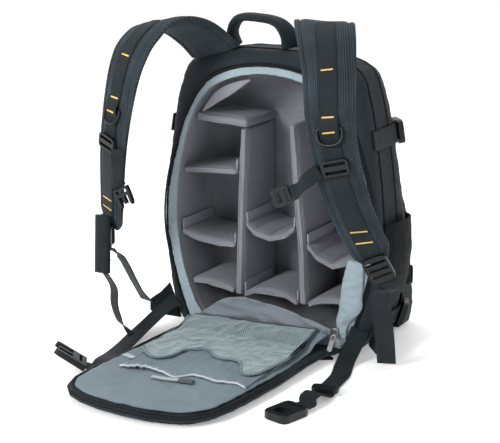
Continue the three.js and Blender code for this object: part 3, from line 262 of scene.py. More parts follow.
# %% [markdown]
# ## Reading a swept solid
# Straps, webbing and sheets were made as rings of points that follow a route. Their triangles still
# hold those rings. A flood fill over nearly flat edges finds the end face, and walking away from
# it edge by edge gives one ring after another. From the rings come the route, its width and the
# direction out of its face, so no route has to be typed again.


# %% Rings of a swept solid
def merged(node):
    solid = bmesh.new()
    solid.from_mesh(frame["nodes"][node].data)
    bmesh.ops.remove_doubles(solid, verts=solid.verts, dist=0.02 * MM)
    return solid


def flat_groups(solid, angle=0.6):
    groups, seen = [], set()
    for face in solid.faces:
        if face in seen:
            continue
        group, queue = [], [face]
        seen.add(face)
        while queue:
            one = queue.pop()
            group.append(one)
            for edge in one.edges:
                for other in edge.link_faces:
                    if other not in seen and one.normal.angle(other.normal, 0) < angle:
                        seen.add(other)
                        queue.append(other)
        groups.append({v for f in group for v in f.verts})
    return sorted(groups, key=len)


def layers_from(solid, ring):
    layers, seen = [ring], set(ring)
    while True:
        after = {w for v in layers[-1] for e in v.link_edges for w in e.verts} - seen
        if not after:
            return layers if len(seen) == len(solid.verts) else []
        layers.append(after)
        seen |= after


def walk_ring(layer):
    """The points of one ring in order, along the edges that a face outside the ring shares."""
    links = {v: [] for v in layer}
    for v in layer:
        for e in v.link_edges:
            other = e.other_vert(v)
            if other in layer and any(w not in layer for f in e.link_faces for w in f.verts):
                links[v].append(other)
    start = next(iter(sorted(layer, key=lambda v: v.index)))
    order, last = [start], None
    while len(order) < len(layer):
        step = [w for w in links[order[-1]] if w is not last and w not in order]
        if not step:
            return None
        last = order[-1]
        order.append(step[0])
    return order


def rings_of(node):
    """Ordered rings of a swept solid, as an array of rings by points by three."""
    solid = merged(node)
    solid.verts.index_update()
    best = []
    for group in flat_groups(solid) + flat_groups(solid, 0.25):
        layers = layers_from(solid, group)
        if len(layers) > max(2, len(best)) and len({len(layer) for layer in layers}) == 1:
            best = layers
    rings = []
    for layer in best:
        order = walk_ring(layer)
        points = np.array([v.co for v in order])
        if rings:
            turns = [np.roll(way, k, axis=0) for way in (points, points[::-1])
                     for k in range(len(points))]
            points = min(turns, key=lambda p: np.linalg.norm(p - rings[-1], axis=1).sum())
        rings.append(points)
    solid.free()
    return np.array(rings)


# %% A route with its directions
def cubic(values, s, places):
    """Values at places along s, by a cubic through the four nearest."""
    slope = np.gradient(values, s, axis=0)
    k = np.clip(np.searchsorted(s, places) - 1, 0, len(s) - 2)
    gap = (s[k + 1] - s[k])[:, None]
    t = ((places - s[k])[:, None] / gap)
    low, high, low_slope, high_slope = values[k], values[k + 1], slope[k], slope[k + 1]
    return ((2 * t**3 - 3 * t**2 + 1) * low + (t**3 - 2 * t**2 + t) * gap * low_slope
            + (3 * t**2 - 2 * t**3) * high + (t**3 - t**2) * gap * high_slope)


def run_of(line):
    """How far along a line each of its points lies."""
    return np.concatenate([[0], np.cumsum(np.linalg.norm(np.diff(line, axis=0), axis=1))])


class Route:
    """Middles, directions and sizes of a flat swept piece, smooth between its rings."""

    def __init__(self, rings, outward=None):
        self.middle = rings.mean(axis=1)
        tangent = np.gradient(self.middle, axis=0)
        tangent /= np.linalg.norm(tangent, axis=1, keepdims=True)
        first = rings[0] - self.middle[0]
        wide = np.linalg.svd(first, full_matrices=False)[2][0]
        share = first @ wide
        across = np.einsum("rpk,p->rk", rings - self.middle[:, None], share)
        across -= tangent * (across * tangent).sum(axis=1, keepdims=True)
        self.across = across / np.linalg.norm(across, axis=1, keepdims=True)
        self.out = np.cross(tangent, self.across)
        if outward is not None and (self.out @ np.array(outward)).sum() < 0:
            self.across, self.out = -self.across, -self.out
        local = rings - self.middle[:, None]
        self.width = np.ptp(np.einsum("rpk,rk->rp", local, self.across), axis=1)
        self.thick = np.ptp(np.einsum("rpk,rk->rp", local, self.out), axis=1)
        self.s = run_of(self.middle)
        self.length = self.s[-1]

    def smooth(self, values, s):
        """Values between rings."""
        return cubic(values if values.ndim > 1 else values[:, None], self.s, s)

    def frame_at(self, s):
        s = np.atleast_1d(np.asarray(s, float))
        middle, across = self.smooth(self.middle, s), self.smooth(self.across, s)
        out = self.smooth(self.out, s)
        across /= np.linalg.norm(across, axis=1, keepdims=True)
        out /= np.linalg.norm(out, axis=1, keepdims=True)
        return middle, across, out

    def point(self, s, u, v):
        middle, across, out = self.frame_at(s)
        return middle + across * np.reshape(u, (-1, 1)) + out * np.reshape(v, (-1, 1))


ROUTES = {}
for node in ("shoulder_strap_right", "shoulder_strap_left", "strap_webbing_right",
             "strap_webbing_left", "adjuster_right", "adjuster_left", "waist_belt_right",
             "waist_belt_left", "sternum_webbing_right", "sternum_webbing_left", "webbing_tail",
             "webbing_bundle", "grab_handle", "upper_strap_right", "upper_strap_left",
             "lower_strap_right", "lower_strap_left"):
    rings = rings_of(node)
    if len(rings) < 3:
        print("no rings in", node)
        continue
    ROUTES[node] = Route(rings)
    print(f"{node}: {len(rings)} rings of {rings.shape[1]}, {ROUTES[node].length:.3f} m long")

# %% [markdown]
# ## Making a mesh from a route
# Webbing and straps are lofted: one cross section is carried along the route in short steps, and
# each point keeps where it lies across and along the strap as its UV. The ends are closed, so the
# mesh stays one solid skin.


# %% Meshes from rows of points
SLOTS = {m["slot"] for m in frame["record"]["materials"]}
print("record slots", sorted(SLOTS))


def make_object(name, mesh):
    made = bpy.data.objects.new(name, mesh)
    bpy.context.scene.collection.objects.link(made)
    return made


def on_bag(piece, node=None):
    """A piece that moves with the bag; the solid that it stands for is hidden."""
    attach(piece, "bag")
    if node:
        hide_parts(node)
    return piece


def loft(name, grid, uvs, finish):
    """A closed skin over rows of points; the last point of a row joins its first."""
    rows, around = grid.shape[:2]
    skin = bmesh.new()
    layer = skin.loops.layers.uv.new("strap")
    verts = [[skin.verts.new(p) for p in row] for row in grid]
    for r in range(rows - 1):
        for k in range(around):
            n = (k + 1) % around
            face = skin.faces.new((verts[r][k], verts[r][n], verts[r + 1][n], verts[r + 1][k]))
            face.smooth = True
            spots = ((r, k), (r, n), (r + 1, n), (r + 1, k))
            for loop, (i, j) in zip(face.loops, spots):
                loop[layer].uv = uvs[i][j]
    for r in (0, rows - 1):
        hub = skin.verts.new(grid[r].mean(axis=0))
        for k in range(around):
            skin.faces.new((verts[r][k], verts[r][(k + 1) % around], hub))
    bmesh.ops.recalc_face_normals(skin, faces=skin.faces)
    mesh = bpy.data.meshes.new(name)
    skin.to_mesh(mesh)
    skin.free()
    mesh.materials.append(finish)
    return make_object(name, mesh)


def section(half_width, top, bottom, count):
    """Points round a flat section: heights are functions of the place across, from -1 to 1."""
    share = np.sin(np.linspace(-1, 1, count) * math.pi / 2)
    upper = [(half_width * u, top(u)) for u in share]
    lower = [(half_width * u, bottom(u)) for u in share[::-1][1:-1]]
    return np.array(upper + lower)


def strap_band(name, route, finish, top, bottom, width=None, start=0.0, end=None, step=3 * MM,
               count=13, ripple=None):
    """A flat piece along a route, with its section's width, faces and a ripple along it."""
    end = route.length if end is None else end
    s = np.linspace(start, end, max(3, int((end - start) / step)))
    widths = route.smooth(route.width, s)[:, 0] if width is None else np.full(len(s), width)
    grid, uvs = [], []
    for place, wide in zip(s, widths):
        shape = section(wide / 2, lambda u: top(u, wide), lambda u: bottom(u, wide), count)
        lift = ripple(place) if ripple else 0.0
        many = np.full(len(shape), place)
        grid.append(route.point(many, shape[:, 0], shape[:, 1] + lift))
        uvs.append([(u, place) for u, v in shape])
    return loft(name, np.array(grid), uvs, finish)


def selvage(thick):
    """Half the thickness of webbing, thinner towards its two edges."""
    return lambda u, wide: thick / 2 * math.sqrt(max(0.0, 1 - abs(u) ** 6))


def below(height):
    return lambda u, wide: -height(u, wide)


# %% [markdown]
# ## Rows of small things
# Stitches, bar tacks and zip teeth repeat hundreds of times, so one Geometry Nodes tree makes them
# all. Each row is a set of points that know which way their stitch lies and which way the cloth
# faces. The tree puts one small shape on each point, turns it by those two directions, makes the
# copies real, and gives them their finish.

# %% The tree for repeated shapes
ROWS = {}


def add_row(kind, points, ways, faces):
    """Plans repeated shapes; the tree makes them once every piece has planned its own."""
    ROWS.setdefault(kind, []).append((np.asarray(points), np.asarray(ways), np.asarray(faces)))


def new_tree(name, inputs):
    """An empty tree with its named inputs and one output, and short ways to add and to join."""
    tree = bpy.data.node_groups.new(name, "GeometryNodeTree")
    for word, kind in inputs.items():
        tree.interface.new_socket(word, in_out="INPUT", socket_type=f"NodeSocket{kind}")
    tree.interface.new_socket("Made", in_out="OUTPUT", socket_type="NodeSocketGeometry")
    add = tree.nodes.new
    return tree, add, tree.links.new, add("NodeGroupInput"), add("NodeGroupOutput")


BEAD_SEGMENTS, BEAD_RINGS = 6, 4


def repeat_tree(name, boxy):
    tree, add, join, given, done = new_tree(
        name, {"Points": "Geometry", "Size": "Vector", "Finish": "Material"})
    if boxy:
        shape = add("GeometryNodeMeshCube")
        size_socket = shape.inputs["Size"]
        join(given.outputs["Size"], size_socket)
        shape_out = shape.outputs["Mesh"]
    else:
        bead = add("GeometryNodeMeshUVSphere")
        bead.inputs["Segments"].default_value = BEAD_SEGMENTS
        bead.inputs["Rings"].default_value = BEAD_RINGS
        bead.inputs["Radius"].default_value = 0.5
        stretch = add("GeometryNodeTransform")
        join(bead.outputs["Mesh"], stretch.inputs["Geometry"])
        join(given.outputs["Size"], stretch.inputs["Scale"])
        shape_out = stretch.outputs["Geometry"]
    copies = add("GeometryNodeInstanceOnPoints")
    turn = add("FunctionNodeAxesToRotation")
    turn.primary_axis, turn.secondary_axis = "X", "Z"
    for word, socket in (("way", "Primary Axis"), ("face", "Secondary Axis")):
        read = add("GeometryNodeInputNamedAttribute")
        read.data_type = "FLOAT_VECTOR"
        read.inputs["Name"].default_value = word
        join(read.outputs["Attribute"], turn.inputs[socket])
    join(given.outputs["Points"], copies.inputs["Points"])
    join(shape_out, copies.inputs["Instance"])
    join(turn.outputs["Rotation"], copies.inputs["Rotation"])
    real = add("GeometryNodeRealizeInstances")
    join(copies.outputs["Instances"], real.inputs["Geometry"])
    paint = add("GeometryNodeSetMaterial")
    join(real.outputs["Geometry"], paint.inputs["Geometry"])
    join(given.outputs["Finish"], paint.inputs["Material"])
    join(paint.outputs["Geometry"], done.inputs["Made"])
    return tree


STITCH_TREE = repeat_tree("rows_of_stitches", boxy=False)
TOOTH_TREE = repeat_tree("rows_of_teeth", boxy=True)


def set_input(modifier, name, value):
    for item in modifier.node_group.interface.items_tree:
        if item.item_type == "SOCKET" and item.in_out == "INPUT" and item.name == name:
            modifier[item.identifier] = value


def shape_now(piece):
    """The piece's mesh with its modifiers worked in, as a plain mesh."""
    ready = piece.evaluated_get(bpy.context.evaluated_depsgraph_get())
    return bpy.data.meshes.new_from_object(ready)


def make_rows(name, kind, tree, size, finish):
    points, ways, faces = (np.concatenate(part) for part in zip(*ROWS[kind]))
    carrier_mesh = bpy.data.meshes.new(name + "_points")
    carrier_mesh.from_pydata(points.tolist(), [], [])
    for word, values in (("way", ways), ("face", faces)):
        attribute = carrier_mesh.attributes.new(word, "FLOAT_VECTOR", "POINT")
        attribute.data.foreach_set("vector", values.astype(np.float32).ravel())
    carrier = make_object(name + "_points", carrier_mesh)
    modifier = carrier.modifiers.new("rows", "NODES")
    modifier.node_group = tree
    set_input(modifier, "Size", size)
    set_input(modifier, "Finish", finish)
    made = make_object(name, shape_now(carrier))
    bpy.data.objects.remove(carrier)
    for face in made.data.polygons:
        face.use_smooth = True
    print(f"{name}: {len(points)} shapes, {len(made.data.polygons)} faces")
    return made


# %% Stitch lines on routes
STITCH_PITCH = 3.6 * MM


def seam_on(route, kind, u, v, start=0.0, end=None, pitch=STITCH_PITCH):
    """A line of stitches along a route; u and v are lengths, or functions of the place along it."""
    end = route.length if end is None else end
    s = np.arange(start + pitch / 2, end, pitch)
    us = np.array([u(x) for x in s]) if callable(u) else np.full(len(s), u)
    vs = np.array([v(x) for x in s]) if callable(v) else np.full(len(s), v)
    points = route.point(s, us, vs)
    ways = np.gradient(points, axis=0)
    add_row(kind, points, ways, route.frame_at(s)[2] * np.sign(vs)[:, None])


def tack_on(route, s, wide, v, kind="yellow_tack", lean=0.0):
    """A bar tack: close stitches side by side, across the webbing."""
    u = np.arange(-wide / 2, wide / 2 + 1e-6, 0.9 * MM)
    places = s + u * lean
    points = route.point(places, u, np.full(len(u), v))
    middle, across, out = route.frame_at(places)
    add_row(kind, points, np.cross(out, across), out)


# %% [markdown]
# ## Shoulder straps
# Each strap is foam between two cloths, bound along its edges. Close to the binding a seam pulls
# the foam flat, and between the seams it stands proud. The section says exactly that, so the
# padding needs no simulation, and the ribs of the cloth follow the strap by its UV.

# %% Padded straps with bound edges
PAD_HALF = 6 * MM
BIND_WIDE = 7.5 * MM


def padded_face(u, wide):
    """Height of the strap's face at a share across it: binding, seam, then foam."""
    edge = (1 - abs(u)) * wide / 2
    if edge < BIND_WIDE:
        return 3.4 * MM * math.sqrt(max(0.0, 1 - (1 - edge / BIND_WIDE) ** 4)) \
            - 0.9 * MM * math.exp(-((edge - BIND_WIDE) / (1.2 * MM)) ** 2)
    rise = 1 - math.exp(-(edge - BIND_WIDE) / (3.2 * MM))
    return 2.5 * MM + (PAD_HALF - 2.5 * MM) * rise


for side in ("right", "left"):
    route = ROUTES[f"shoulder_strap_{side}"]
    web = ROUTES[f"strap_webbing_{side}"]
    near = np.argmin(np.linalg.norm(route.middle - web.middle[0], axis=1))
    gap = web.middle[0] - route.middle[near]
    if (gap @ route.out[near]) < 0:
        route.across, route.out = -route.across, -route.out
    strap = strap_band(f"shoulder_strap_{side}_foam", route, STRAP, padded_face,
                       below(padded_face), step=2.2 * MM, count=45)
    on_bag(strap, f"shoulder_strap_{side}")
    for edge in (-1, 1):
        half = lambda s, e=edge: e * (float(route.smooth(route.width, np.array([s]))[0, 0]) / 2
                                      - BIND_WIDE + 1.6 * MM)
        for face in (-1, 1):
            seam_on(route, "dark_stitch", half, face * 3.3 * MM, 8 * MM, route.length - 6 * MM)
    print(strap.name, len(strap.data.polygons), "faces")


# %% Webbing laid over the straps, with its tacks
def nearest(route, point):
    s = np.linspace(0, route.length, 400)
    return s[np.argmin(np.linalg.norm(route.point(s, np.zeros(400), np.zeros(400))
                                      - np.array(point), axis=1))]


WEB_THICK = 1.8 * MM
TACKS = [(144, -174, 403), (152, -190, 349), (155, -195, 331)]
LOW_TACKS = [(186, -166, 207), (191, -159, 193)]
for side, mirror in (("right", 1), ("left", -1)):
    web = ROUTES[f"strap_webbing_{side}"]
    strap = ROUTES[f"shoulder_strap_{side}"]
    near = np.argmin(np.linalg.norm(strap.middle - web.middle[2], axis=1))
    if web.out[2] @ strap.out[near] < 0:
        web.across, web.out = -web.across, -web.out
    spots = [nearest(web, (mirror * x * MM, y * MM, z * MM)) for x, y, z in TACKS + LOW_TACKS]
    bars = np.array(spots)
    ripple = lambda s: 0.7 * MM * (1 - math.exp(-(np.abs(bars - s).min() / (9 * MM)) ** 2))
    band = strap_band(f"strap_webbing_{side}_woven", web, WEBBING, selvage(WEB_THICK),
                      below(selvage(WEB_THICK)), step=2 * MM, ripple=ripple)
    on_bag(band, f"strap_webbing_{side}")
    for k, s in enumerate(spots):
        tack_on(web, s, 15 * MM if k < 3 else 20 * MM, WEB_THICK / 2 + 0.3 * MM,
                lean=0.0 if k < 3 else mirror * 0.25)
    for edge in (-1, 1):
        seam_on(web, "dark_stitch", edge * 10.6 * MM, lambda s: WEB_THICK / 2 + ripple(s), 6 * MM,
                web.length - 6 * MM)
    print(band.name, "tacks at", [round(s, 3) for s in spots])

# %% [markdown]
# ## Free webbing
# Adjusters, the waist belt, sternum webbing and the spare end are plain woven bands. They are thin
# strips of one thickness with a softer selvage. A slow wave along them keeps them from looking
# like cut metal.

# %% Bands of webbing
BANDS = {
    "adjuster_right": 0.5, "adjuster_left": 0.5, "waist_belt_right": 0.5, "waist_belt_left": 0.5,
    "sternum_webbing_right": 0.2, "sternum_webbing_left": 0.2, "webbing_tail": 0.6,
    "upper_strap_right": 0.2, "upper_strap_left": 0.2, "lower_strap_right": 0.2,
    "lower_strap_left": 0.2,
}
for node, wave in BANDS.items():
    route = ROUTES[node]
    thick = float(np.median(route.thick))
    ripple = lambda s, w=wave, n=len(node): w * MM * math.sin(s / (14 * MM) + n)
    band = strap_band(f"{node}_woven", route, WEBBING, selvage(thick), below(selvage(thick)),
                      ripple=ripple)
    on_bag(band, node)
    for edge in (-1, 1):
        seam_on(route, "dark_stitch", edge * (float(np.median(route.width)) / 2 - 2.2 * MM),
                lambda s, t=thick, r=ripple: t / 2 + r(s), 5 * MM, route.length - 5 * MM,
                2 * STITCH_PITCH)
print("bands", len(BANDS))

# %% [markdown]
# ## Foam pads that swell
# Dividers, shelves, saddles and floor pads are foam in brushed cloth. Each starts as an even skin
# of small faces, made a little smaller than its solid. Cloth simulation then blows it up from
# inside, with a cap on how far a point may go, so it crowns between its seams and stays clear of
# its neighbours. The seams are pressed in afterwards, because they are finer than that skin.

# %% An even skin from a solid
from mathutils.bvhtree import BVHTree


def tree_of(piece):
    """What rays are cast at, to find a place on a piece."""
    return BVHTree.FromPolygons([v.co for v in piece.data.vertices],
                                [p.vertices[:] for p in piece.data.polygons])


def apply_all(piece):
    """Works the modifiers into the mesh and takes them off."""
    mesh = shape_now(piece)
    piece.modifiers.clear()
    old = piece.data
    piece.data = mesh
    bpy.data.meshes.remove(old)
    return piece


def skin_of(name, node, voxel, finish, relax=3):
    solid = merged(node)
    mesh = bpy.data.meshes.new(name)
    solid.to_mesh(mesh)
    solid.free()
    piece = make_object(name, mesh)
    remesh = piece.modifiers.new("even_skin", "REMESH")
    remesh.mode, remesh.voxel_size, remesh.use_smooth_shade = "VOXEL", voxel, True
    if relax:
        smooth = piece.modifiers.new("relax", "SMOOTH")
        smooth.factor, smooth.iterations = 0.5, relax
    apply_all(piece)
    piece.data.materials.clear()
    piece.data.materials.append(finish)
    return piece


def points_of(mesh, what="co"):
    values = np.zeros(len(mesh.vertices) * 3, np.float32)
    if what == "co":
        mesh.vertices.foreach_get("co", values)
    else:
        mesh.vertex_normals.foreach_get("vector", values)
    return values.reshape(-1, 3).astype(float)


def move_points(mesh, points):
    mesh.vertices.foreach_set("co", points.astype(np.float32).ravel())
    mesh.update()


# %% The foam pads
PADS = {
    "divider_left": (0, INSIDE), "divider_right": (0, INSIDE), "shelf_top": (2, INSIDE),
    "shelf_upper": (2, INSIDE), "shelf_lower": (2, INSIDE), "saddle_middle": (2, INSIDE),
    "saddle_right": (2, INSIDE), "floor_left": (2, INSIDE), "floor_middle": (2, INSIDE),
    "floor_right": (2, INSIDE), "flap_panel": (2, OUTER),
}
SHRINK, SWELL_CAP, SWELL_FRAMES = 0.7 * MM, 1.2 * MM, 10
PAD_VOXEL, FLAP_VOXEL, PRESSURE, PAD_MASS = 2.4 * MM, 3 * MM, 4.0, 0.25
pads = {}
for node, (axis, finish) in PADS.items():
    pad = skin_of(f"{node}_foam", node, PAD_VOXEL if node != "flap_panel" else FLAP_VOXEL,
                  finish, 1)
    move_points(pad.data, points_of(pad.data) - points_of(pad.data, "normal") * SHRINK)
    pads[node] = pad
start_points = {node: points_of(pad.data) for node, pad in pads.items()}
for pad in pads.values():
    cloth = pad.modifiers.new("cloth", "CLOTH")
    cloth.settings.quality = 4
    cloth.settings.mass = PAD_MASS
    cloth.settings.use_pressure = True
    cloth.settings.uniform_pressure_force = PRESSURE
    cloth.settings.effector_weights.gravity = 0.0
    cloth.point_cache.frame_start, cloth.point_cache.frame_end = 1, SWELL_FRAMES
for step in range(1, SWELL_FRAMES + 1):
    bpy.context.scene.frame_set(step)
for pad in pads.values():
    apply_all(pad)
for node, pad in pads.items():
    moved = points_of(pad.data) - start_points[node]
    far = np.linalg.norm(moved, axis=1, keepdims=True)
    capped = moved * np.minimum(1, SWELL_CAP / np.maximum(far, 1e-9))
    move_points(pad.data, start_points[node] + capped)
    print(f"{pad.name}: {len(pad.data.vertices)} points, swelled {np.median(far) / MM:.2f} mm")


# %% Seams pressed into a pad
def hull(points):
    """Corners of the convex outline of flat points, in order."""
    order = points[np.lexsort((points[:, 1], points[:, 0]))]
    chains = []
    for way in (order, order[::-1]):
        chain = []
        for p in way:
            while len(chain) > 1:
                a, b = chain[-1] - chain[-2], p - chain[-2]
                if a[0] * b[1] - a[1] * b[0] > 0:
                    break
                chain.pop()
            chain.append(p)
        chains += chain[:-1]
    return np.array(chains)


def depth_in(outline, points):
    """How far each flat point is inside a convex outline."""
    after = np.roll(outline, -1, axis=0)
    along = after - outline
    inward = np.stack([-along[:, 1], along[:, 0]], 1)
    inward /= np.linalg.norm(inward, axis=1, keepdims=True)
    return np.min(points @ inward.T - (outline * inward).sum(axis=1), axis=1)


def sew(pad, axis, inset, depth, wide):
    """Draws the faces together along a line at one distance from the pad's outline."""
    flat = [k for k in range(3) if k != axis]
    points, normals = points_of(pad.data), points_of(pad.data, "normal")
    inside = depth_in(hull(points[:, flat]), points[:, flat])
    pull = depth * np.exp(-((inside - inset) / wide) ** 2)
    face = np.abs(normals[:, axis])
    move_points(pad.data, points - normals * (pull * face)[:, None])


def seam_round(pad, axis, inset, kind, pitch=STITCH_PITCH):
    """Stitches on both faces of a pad along the same line, found by looking straight at it."""
    flat = [k for k in range(3) if k != axis]
    points = points_of(pad.data)
    outline = hull(points[:, flat])
    middle = outline.mean(axis=0)
    tree = tree_of(pad)
    angles = np.linspace(0, 2 * math.pi, 720, endpoint=False)
    line = []
    for angle in angles:
        way = np.array([math.cos(angle), math.sin(angle)])
        reach = np.linspace(0, 0.3, 400)
        inside = depth_in(outline, middle + way * reach[:, None])
        line.append(middle + way * reach[np.argmin(np.abs(inside - inset))])
    line = np.array(line)
    steps = run_of(line)
    places = np.arange(0, steps[-1], pitch)
    line = np.stack([np.interp(places, steps, line[:, k]) for k in (0, 1)], 1)
    for sign in (-1, 1):
        made = []
        for p in line:
            origin = np.zeros(3)
            origin[flat] = p
            origin[axis] = points[:, axis].max() + 0.05 if sign > 0 else points[:, axis].min() - 0.05
            ray = np.zeros(3)
            ray[axis] = -sign
            spot, normal, index, distance = tree.ray_cast(Vector(origin), Vector(ray))
            if spot is not None:
                made.append((spot, normal))
        if len(made) > 2:
            spots = np.array([m[0] for m in made])
            add_row(kind, spots, np.gradient(spots, axis=0), np.array([m[1] for m in made]))


for node, (axis, finish) in PADS.items():
    pad = pads[node]
    on_flap = node == "flap_panel"
    inset, depth, wide = (9 * MM, 1.6 * MM, 2.2 * MM) if on_flap else (5.5 * MM, 0.7 * MM, 1.8 * MM)
    sew(pad, axis, inset, depth, wide)
    seam_round(pad, axis, inset, "dark_stitch" if on_flap else "grey_stitch")
    on_bag(pad, node)
print("pads", len(pads))

# %% [markdown]
# The front edges of every pad are bound with a thin piping, and five pads end in strips of hook
# tape that are turned up against the wall or divider that holds them. Both are found by looking at
# the pad along its thin direction, just behind its front.


# %% Front edges and hook tabs
def front_edges(pad, axis, behind=2.2 * MM, count=60):
    tree, points = tree_of(pad), points_of(pad.data)
    low, high = points.min(axis=0), points.max(axis=0)
    along = 2 if axis == 0 else 0
    lines = []
    for sign in (-1, 1):
        line = []
        for place in np.linspace(low[along] + 2.5 * MM, high[along] - 2.5 * MM, count):
            origin, way = np.zeros(3), np.zeros(3)
            origin[along], origin[1] = place, low[1] + behind
            origin[axis] = high[axis] + 0.03 if sign > 0 else low[axis] - 0.03
            way[axis] = -sign
            spot = tree.ray_cast(Vector(origin), Vector(way))[0]
            if spot is not None:
                p = np.array(spot)
                p[1] = low[1] + 1.0 * MM
                p[axis] -= sign * 0.9 * MM
                line.append(p)
        lines.append(np.array(line))
    return lines


pad_piping = []
for node, (axis, finish) in PADS.items():
    if node != "flap_panel":
        pad_piping += front_edges(pads[node], axis)
print("edge lines", len(pad_piping))
TAB_RISE, TAB_THICK = 15 * MM, 1.6 * MM
TABS = {"shelf_lower": (-1, 1), "saddle_middle": (-1, 1), "saddle_right": (-1, 1),
        "shelf_upper": (1,), "floor_middle": (-1, 1)}


def hook_tab(node, end):
    pad = pads[node]
    tree, points = tree_of(pad), points_of(pad.data)
    low, high = points.min(axis=0), points.max(axis=0)
    rings = []
    for y in np.linspace(low[1] + 3 * MM, low[1] + 86 * MM, 14):
        near = points[np.abs(points[:, 1] - y) < 2.5 * MM][:, 0]
        x = (near.max() if end > 0 else near.min()) - end * 1.8 * MM
        top = tree.ray_cast(Vector((x, y, high[2] + 0.05)), Vector((0, 0, -1)))[0]
        z = (top.z if top is not None else high[2]) - 1.5 * MM
        half, lean, top_z = TAB_THICK / 2, end * 0.6 * MM, z + TAB_RISE
        rings.append([(x - half, y, z), (x + half, y, z),
                      (x + half + lean, y, top_z), (x - half + lean, y, top_z)])
    route = Route(np.array(rings))
    tab = strap_band(f"{node}_tab_{'right' if end > 0 else 'left'}", route, GREY_BINDING,
                     selvage(TAB_THICK), below(selvage(TAB_THICK)), step=3 * MM)
    return on_bag(tab)


tabs = [hook_tab(node, end) for node, ends in TABS.items() for end in ends]
print("hook tabs", len(tabs))

# %% [markdown]
# ## The shell, the liner and the front organizer
# The outer bag is one padded skin. An even skin of small faces is relaxed, and then two sizes of
# noise move its points along their normals: long, shallow sags, and short creases that run across
# the bag where the cloth gathers. The liner gets shallower ones. The side walls are a coarser
# cloth than the rest, which is a second finish on the same skin.


# %% Folds in an even skin
def folds(mesh, sag, crease, scale, squeeze=(1, 1, 1), only=None):
    points, normals = points_of(mesh), points_of(mesh, "normal")
    moves = np.zeros(len(points))
    for k, p in enumerate(points):
        if only is not None and not only(p, normals[k]):
            continue
        q = Vector((p[0] * squeeze[0], p[1] * squeeze[1], p[2] * squeeze[2]))
        long_wave = noise.noise(q * scale)
        short_wave = 1 - abs(noise.noise(q * scale * 3.1 + Vector((5, 1, 3))) * 2)
        moves[k] = sag * long_wave + crease * (short_wave ** 3 - 0.35)
    move_points(mesh, points + normals * moves[:, None])


shell = skin_of("shell_outer_cloth", "shell", 4.2 * MM, OUTER, 4)
outer_only = lambda p, n: n[0] * p[0] > 0 or abs(n[0]) < 0.4
folds(shell.data, 1.2 * MM, 0.8 * MM, 13, (0.8, 1.0, 1.7), outer_only)
shell.data.materials.append(SIDE)
shell_low, shell_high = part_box("shell")
for face in shell.data.polygons:
    centre = face.center
    if abs(face.normal.x) > 0.75 and centre.y > shell_low.y + 26 * MM and face.normal.x * centre.x > 0:
        face.material_index = 1
on_bag(shell, "shell")
print(shell.name, len(shell.data.polygons), "faces")

liner = skin_of("liner_brushed", "liner", 4.6 * MM, BACK_LINING, 3)
folds(liner.data, 0.5 * MM, 0.5 * MM, 14, (1, 1, 1.4))
on_bag(liner, "liner")

organizer = skin_of("organizer_cloth", "organizer_pocket", 3.2 * MM, OUTER, 4)
folds(organizer.data, 1.6 * MM, 1.0 * MM, 16, (0.8, 1, 1.4), lambda p, n: n[1] > -0.2)
on_bag(organizer, "organizer_pocket")
print(liner.name, len(liner.data.polygons), organizer.name, len(organizer.data.polygons))

# %% [markdown]
# ## Thin sheets
# The flap's lining, its two sewn-on pockets, the gusset and the side pockets are one cloth thick.
# Their rings are drawn through again at short steps, both ways, and soft wrinkles lift the whole
# thickness together, so that a sheet never swells.


# %% Dense sheets from rings
def dense(rings, step):
    """More rings by cubic steps along, and more points around by straight steps."""
    s = run_of(rings.mean(axis=1))
    places = np.linspace(0, s[-1], max(4, int(s[-1] / step)))
    rows = np.stack([cubic(rings[:, k], s, places) for k in range(rings.shape[1])], 1)
    around = []
    for k in range(rows.shape[1]):
        a, b = rows[:, k], rows[:, (k + 1) % rows.shape[1]]
        parts = max(1, int(np.linalg.norm(a - b, axis=1).mean() / step))
        around += [a + (b - a) * i / parts for i in range(parts)]
    return np.stack(around, 1), places


def sheet_of(name, node, finish, step, lift, wrinkle, way=(0, 0, 1), scale=18.0, seed=0.0,
             squeeze=(1, 1, 1), puff=None):
    rings = rings_of(node)
    grid, places = dense(rings, step)
    way = np.array(way, float)
    waves = []
    for q in grid.reshape(-1, 3):
        base = Vector(q * np.array(squeeze)) * scale + Vector((seed, seed * 2, 0))
        ridge = 1 - abs(noise.noise(base * 2.3)) * 2.2
        waves.append(lift * (noise.noise(base) + 0.5) + wrinkle * max(0.0, ridge) ** 2
                     + (puff(q) if puff else 0.0))
    grid = grid + (np.array(waves).reshape(grid.shape[:2])[..., None]) * way
    u = run_of(grid[0])
    uvs = [[(a, s) for a in u] for s in places]
    made = loft(name, grid, uvs, finish)
    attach(made, "bag")
    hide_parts(node)
    return made, rings


def gathers(q):
    """Three puffs where the elastic draws the band pocket together, near its left end."""
    beside = math.exp(-((q[1] + 0.262) / 0.013) ** 2)
    return 5.5 * MM * beside * math.exp(-((q[0] + 0.072) / 0.02) ** 2) * (
        0.35 + 0.65 * math.cos((q[0] + 0.072) * 2 * math.pi / 0.017) ** 2)


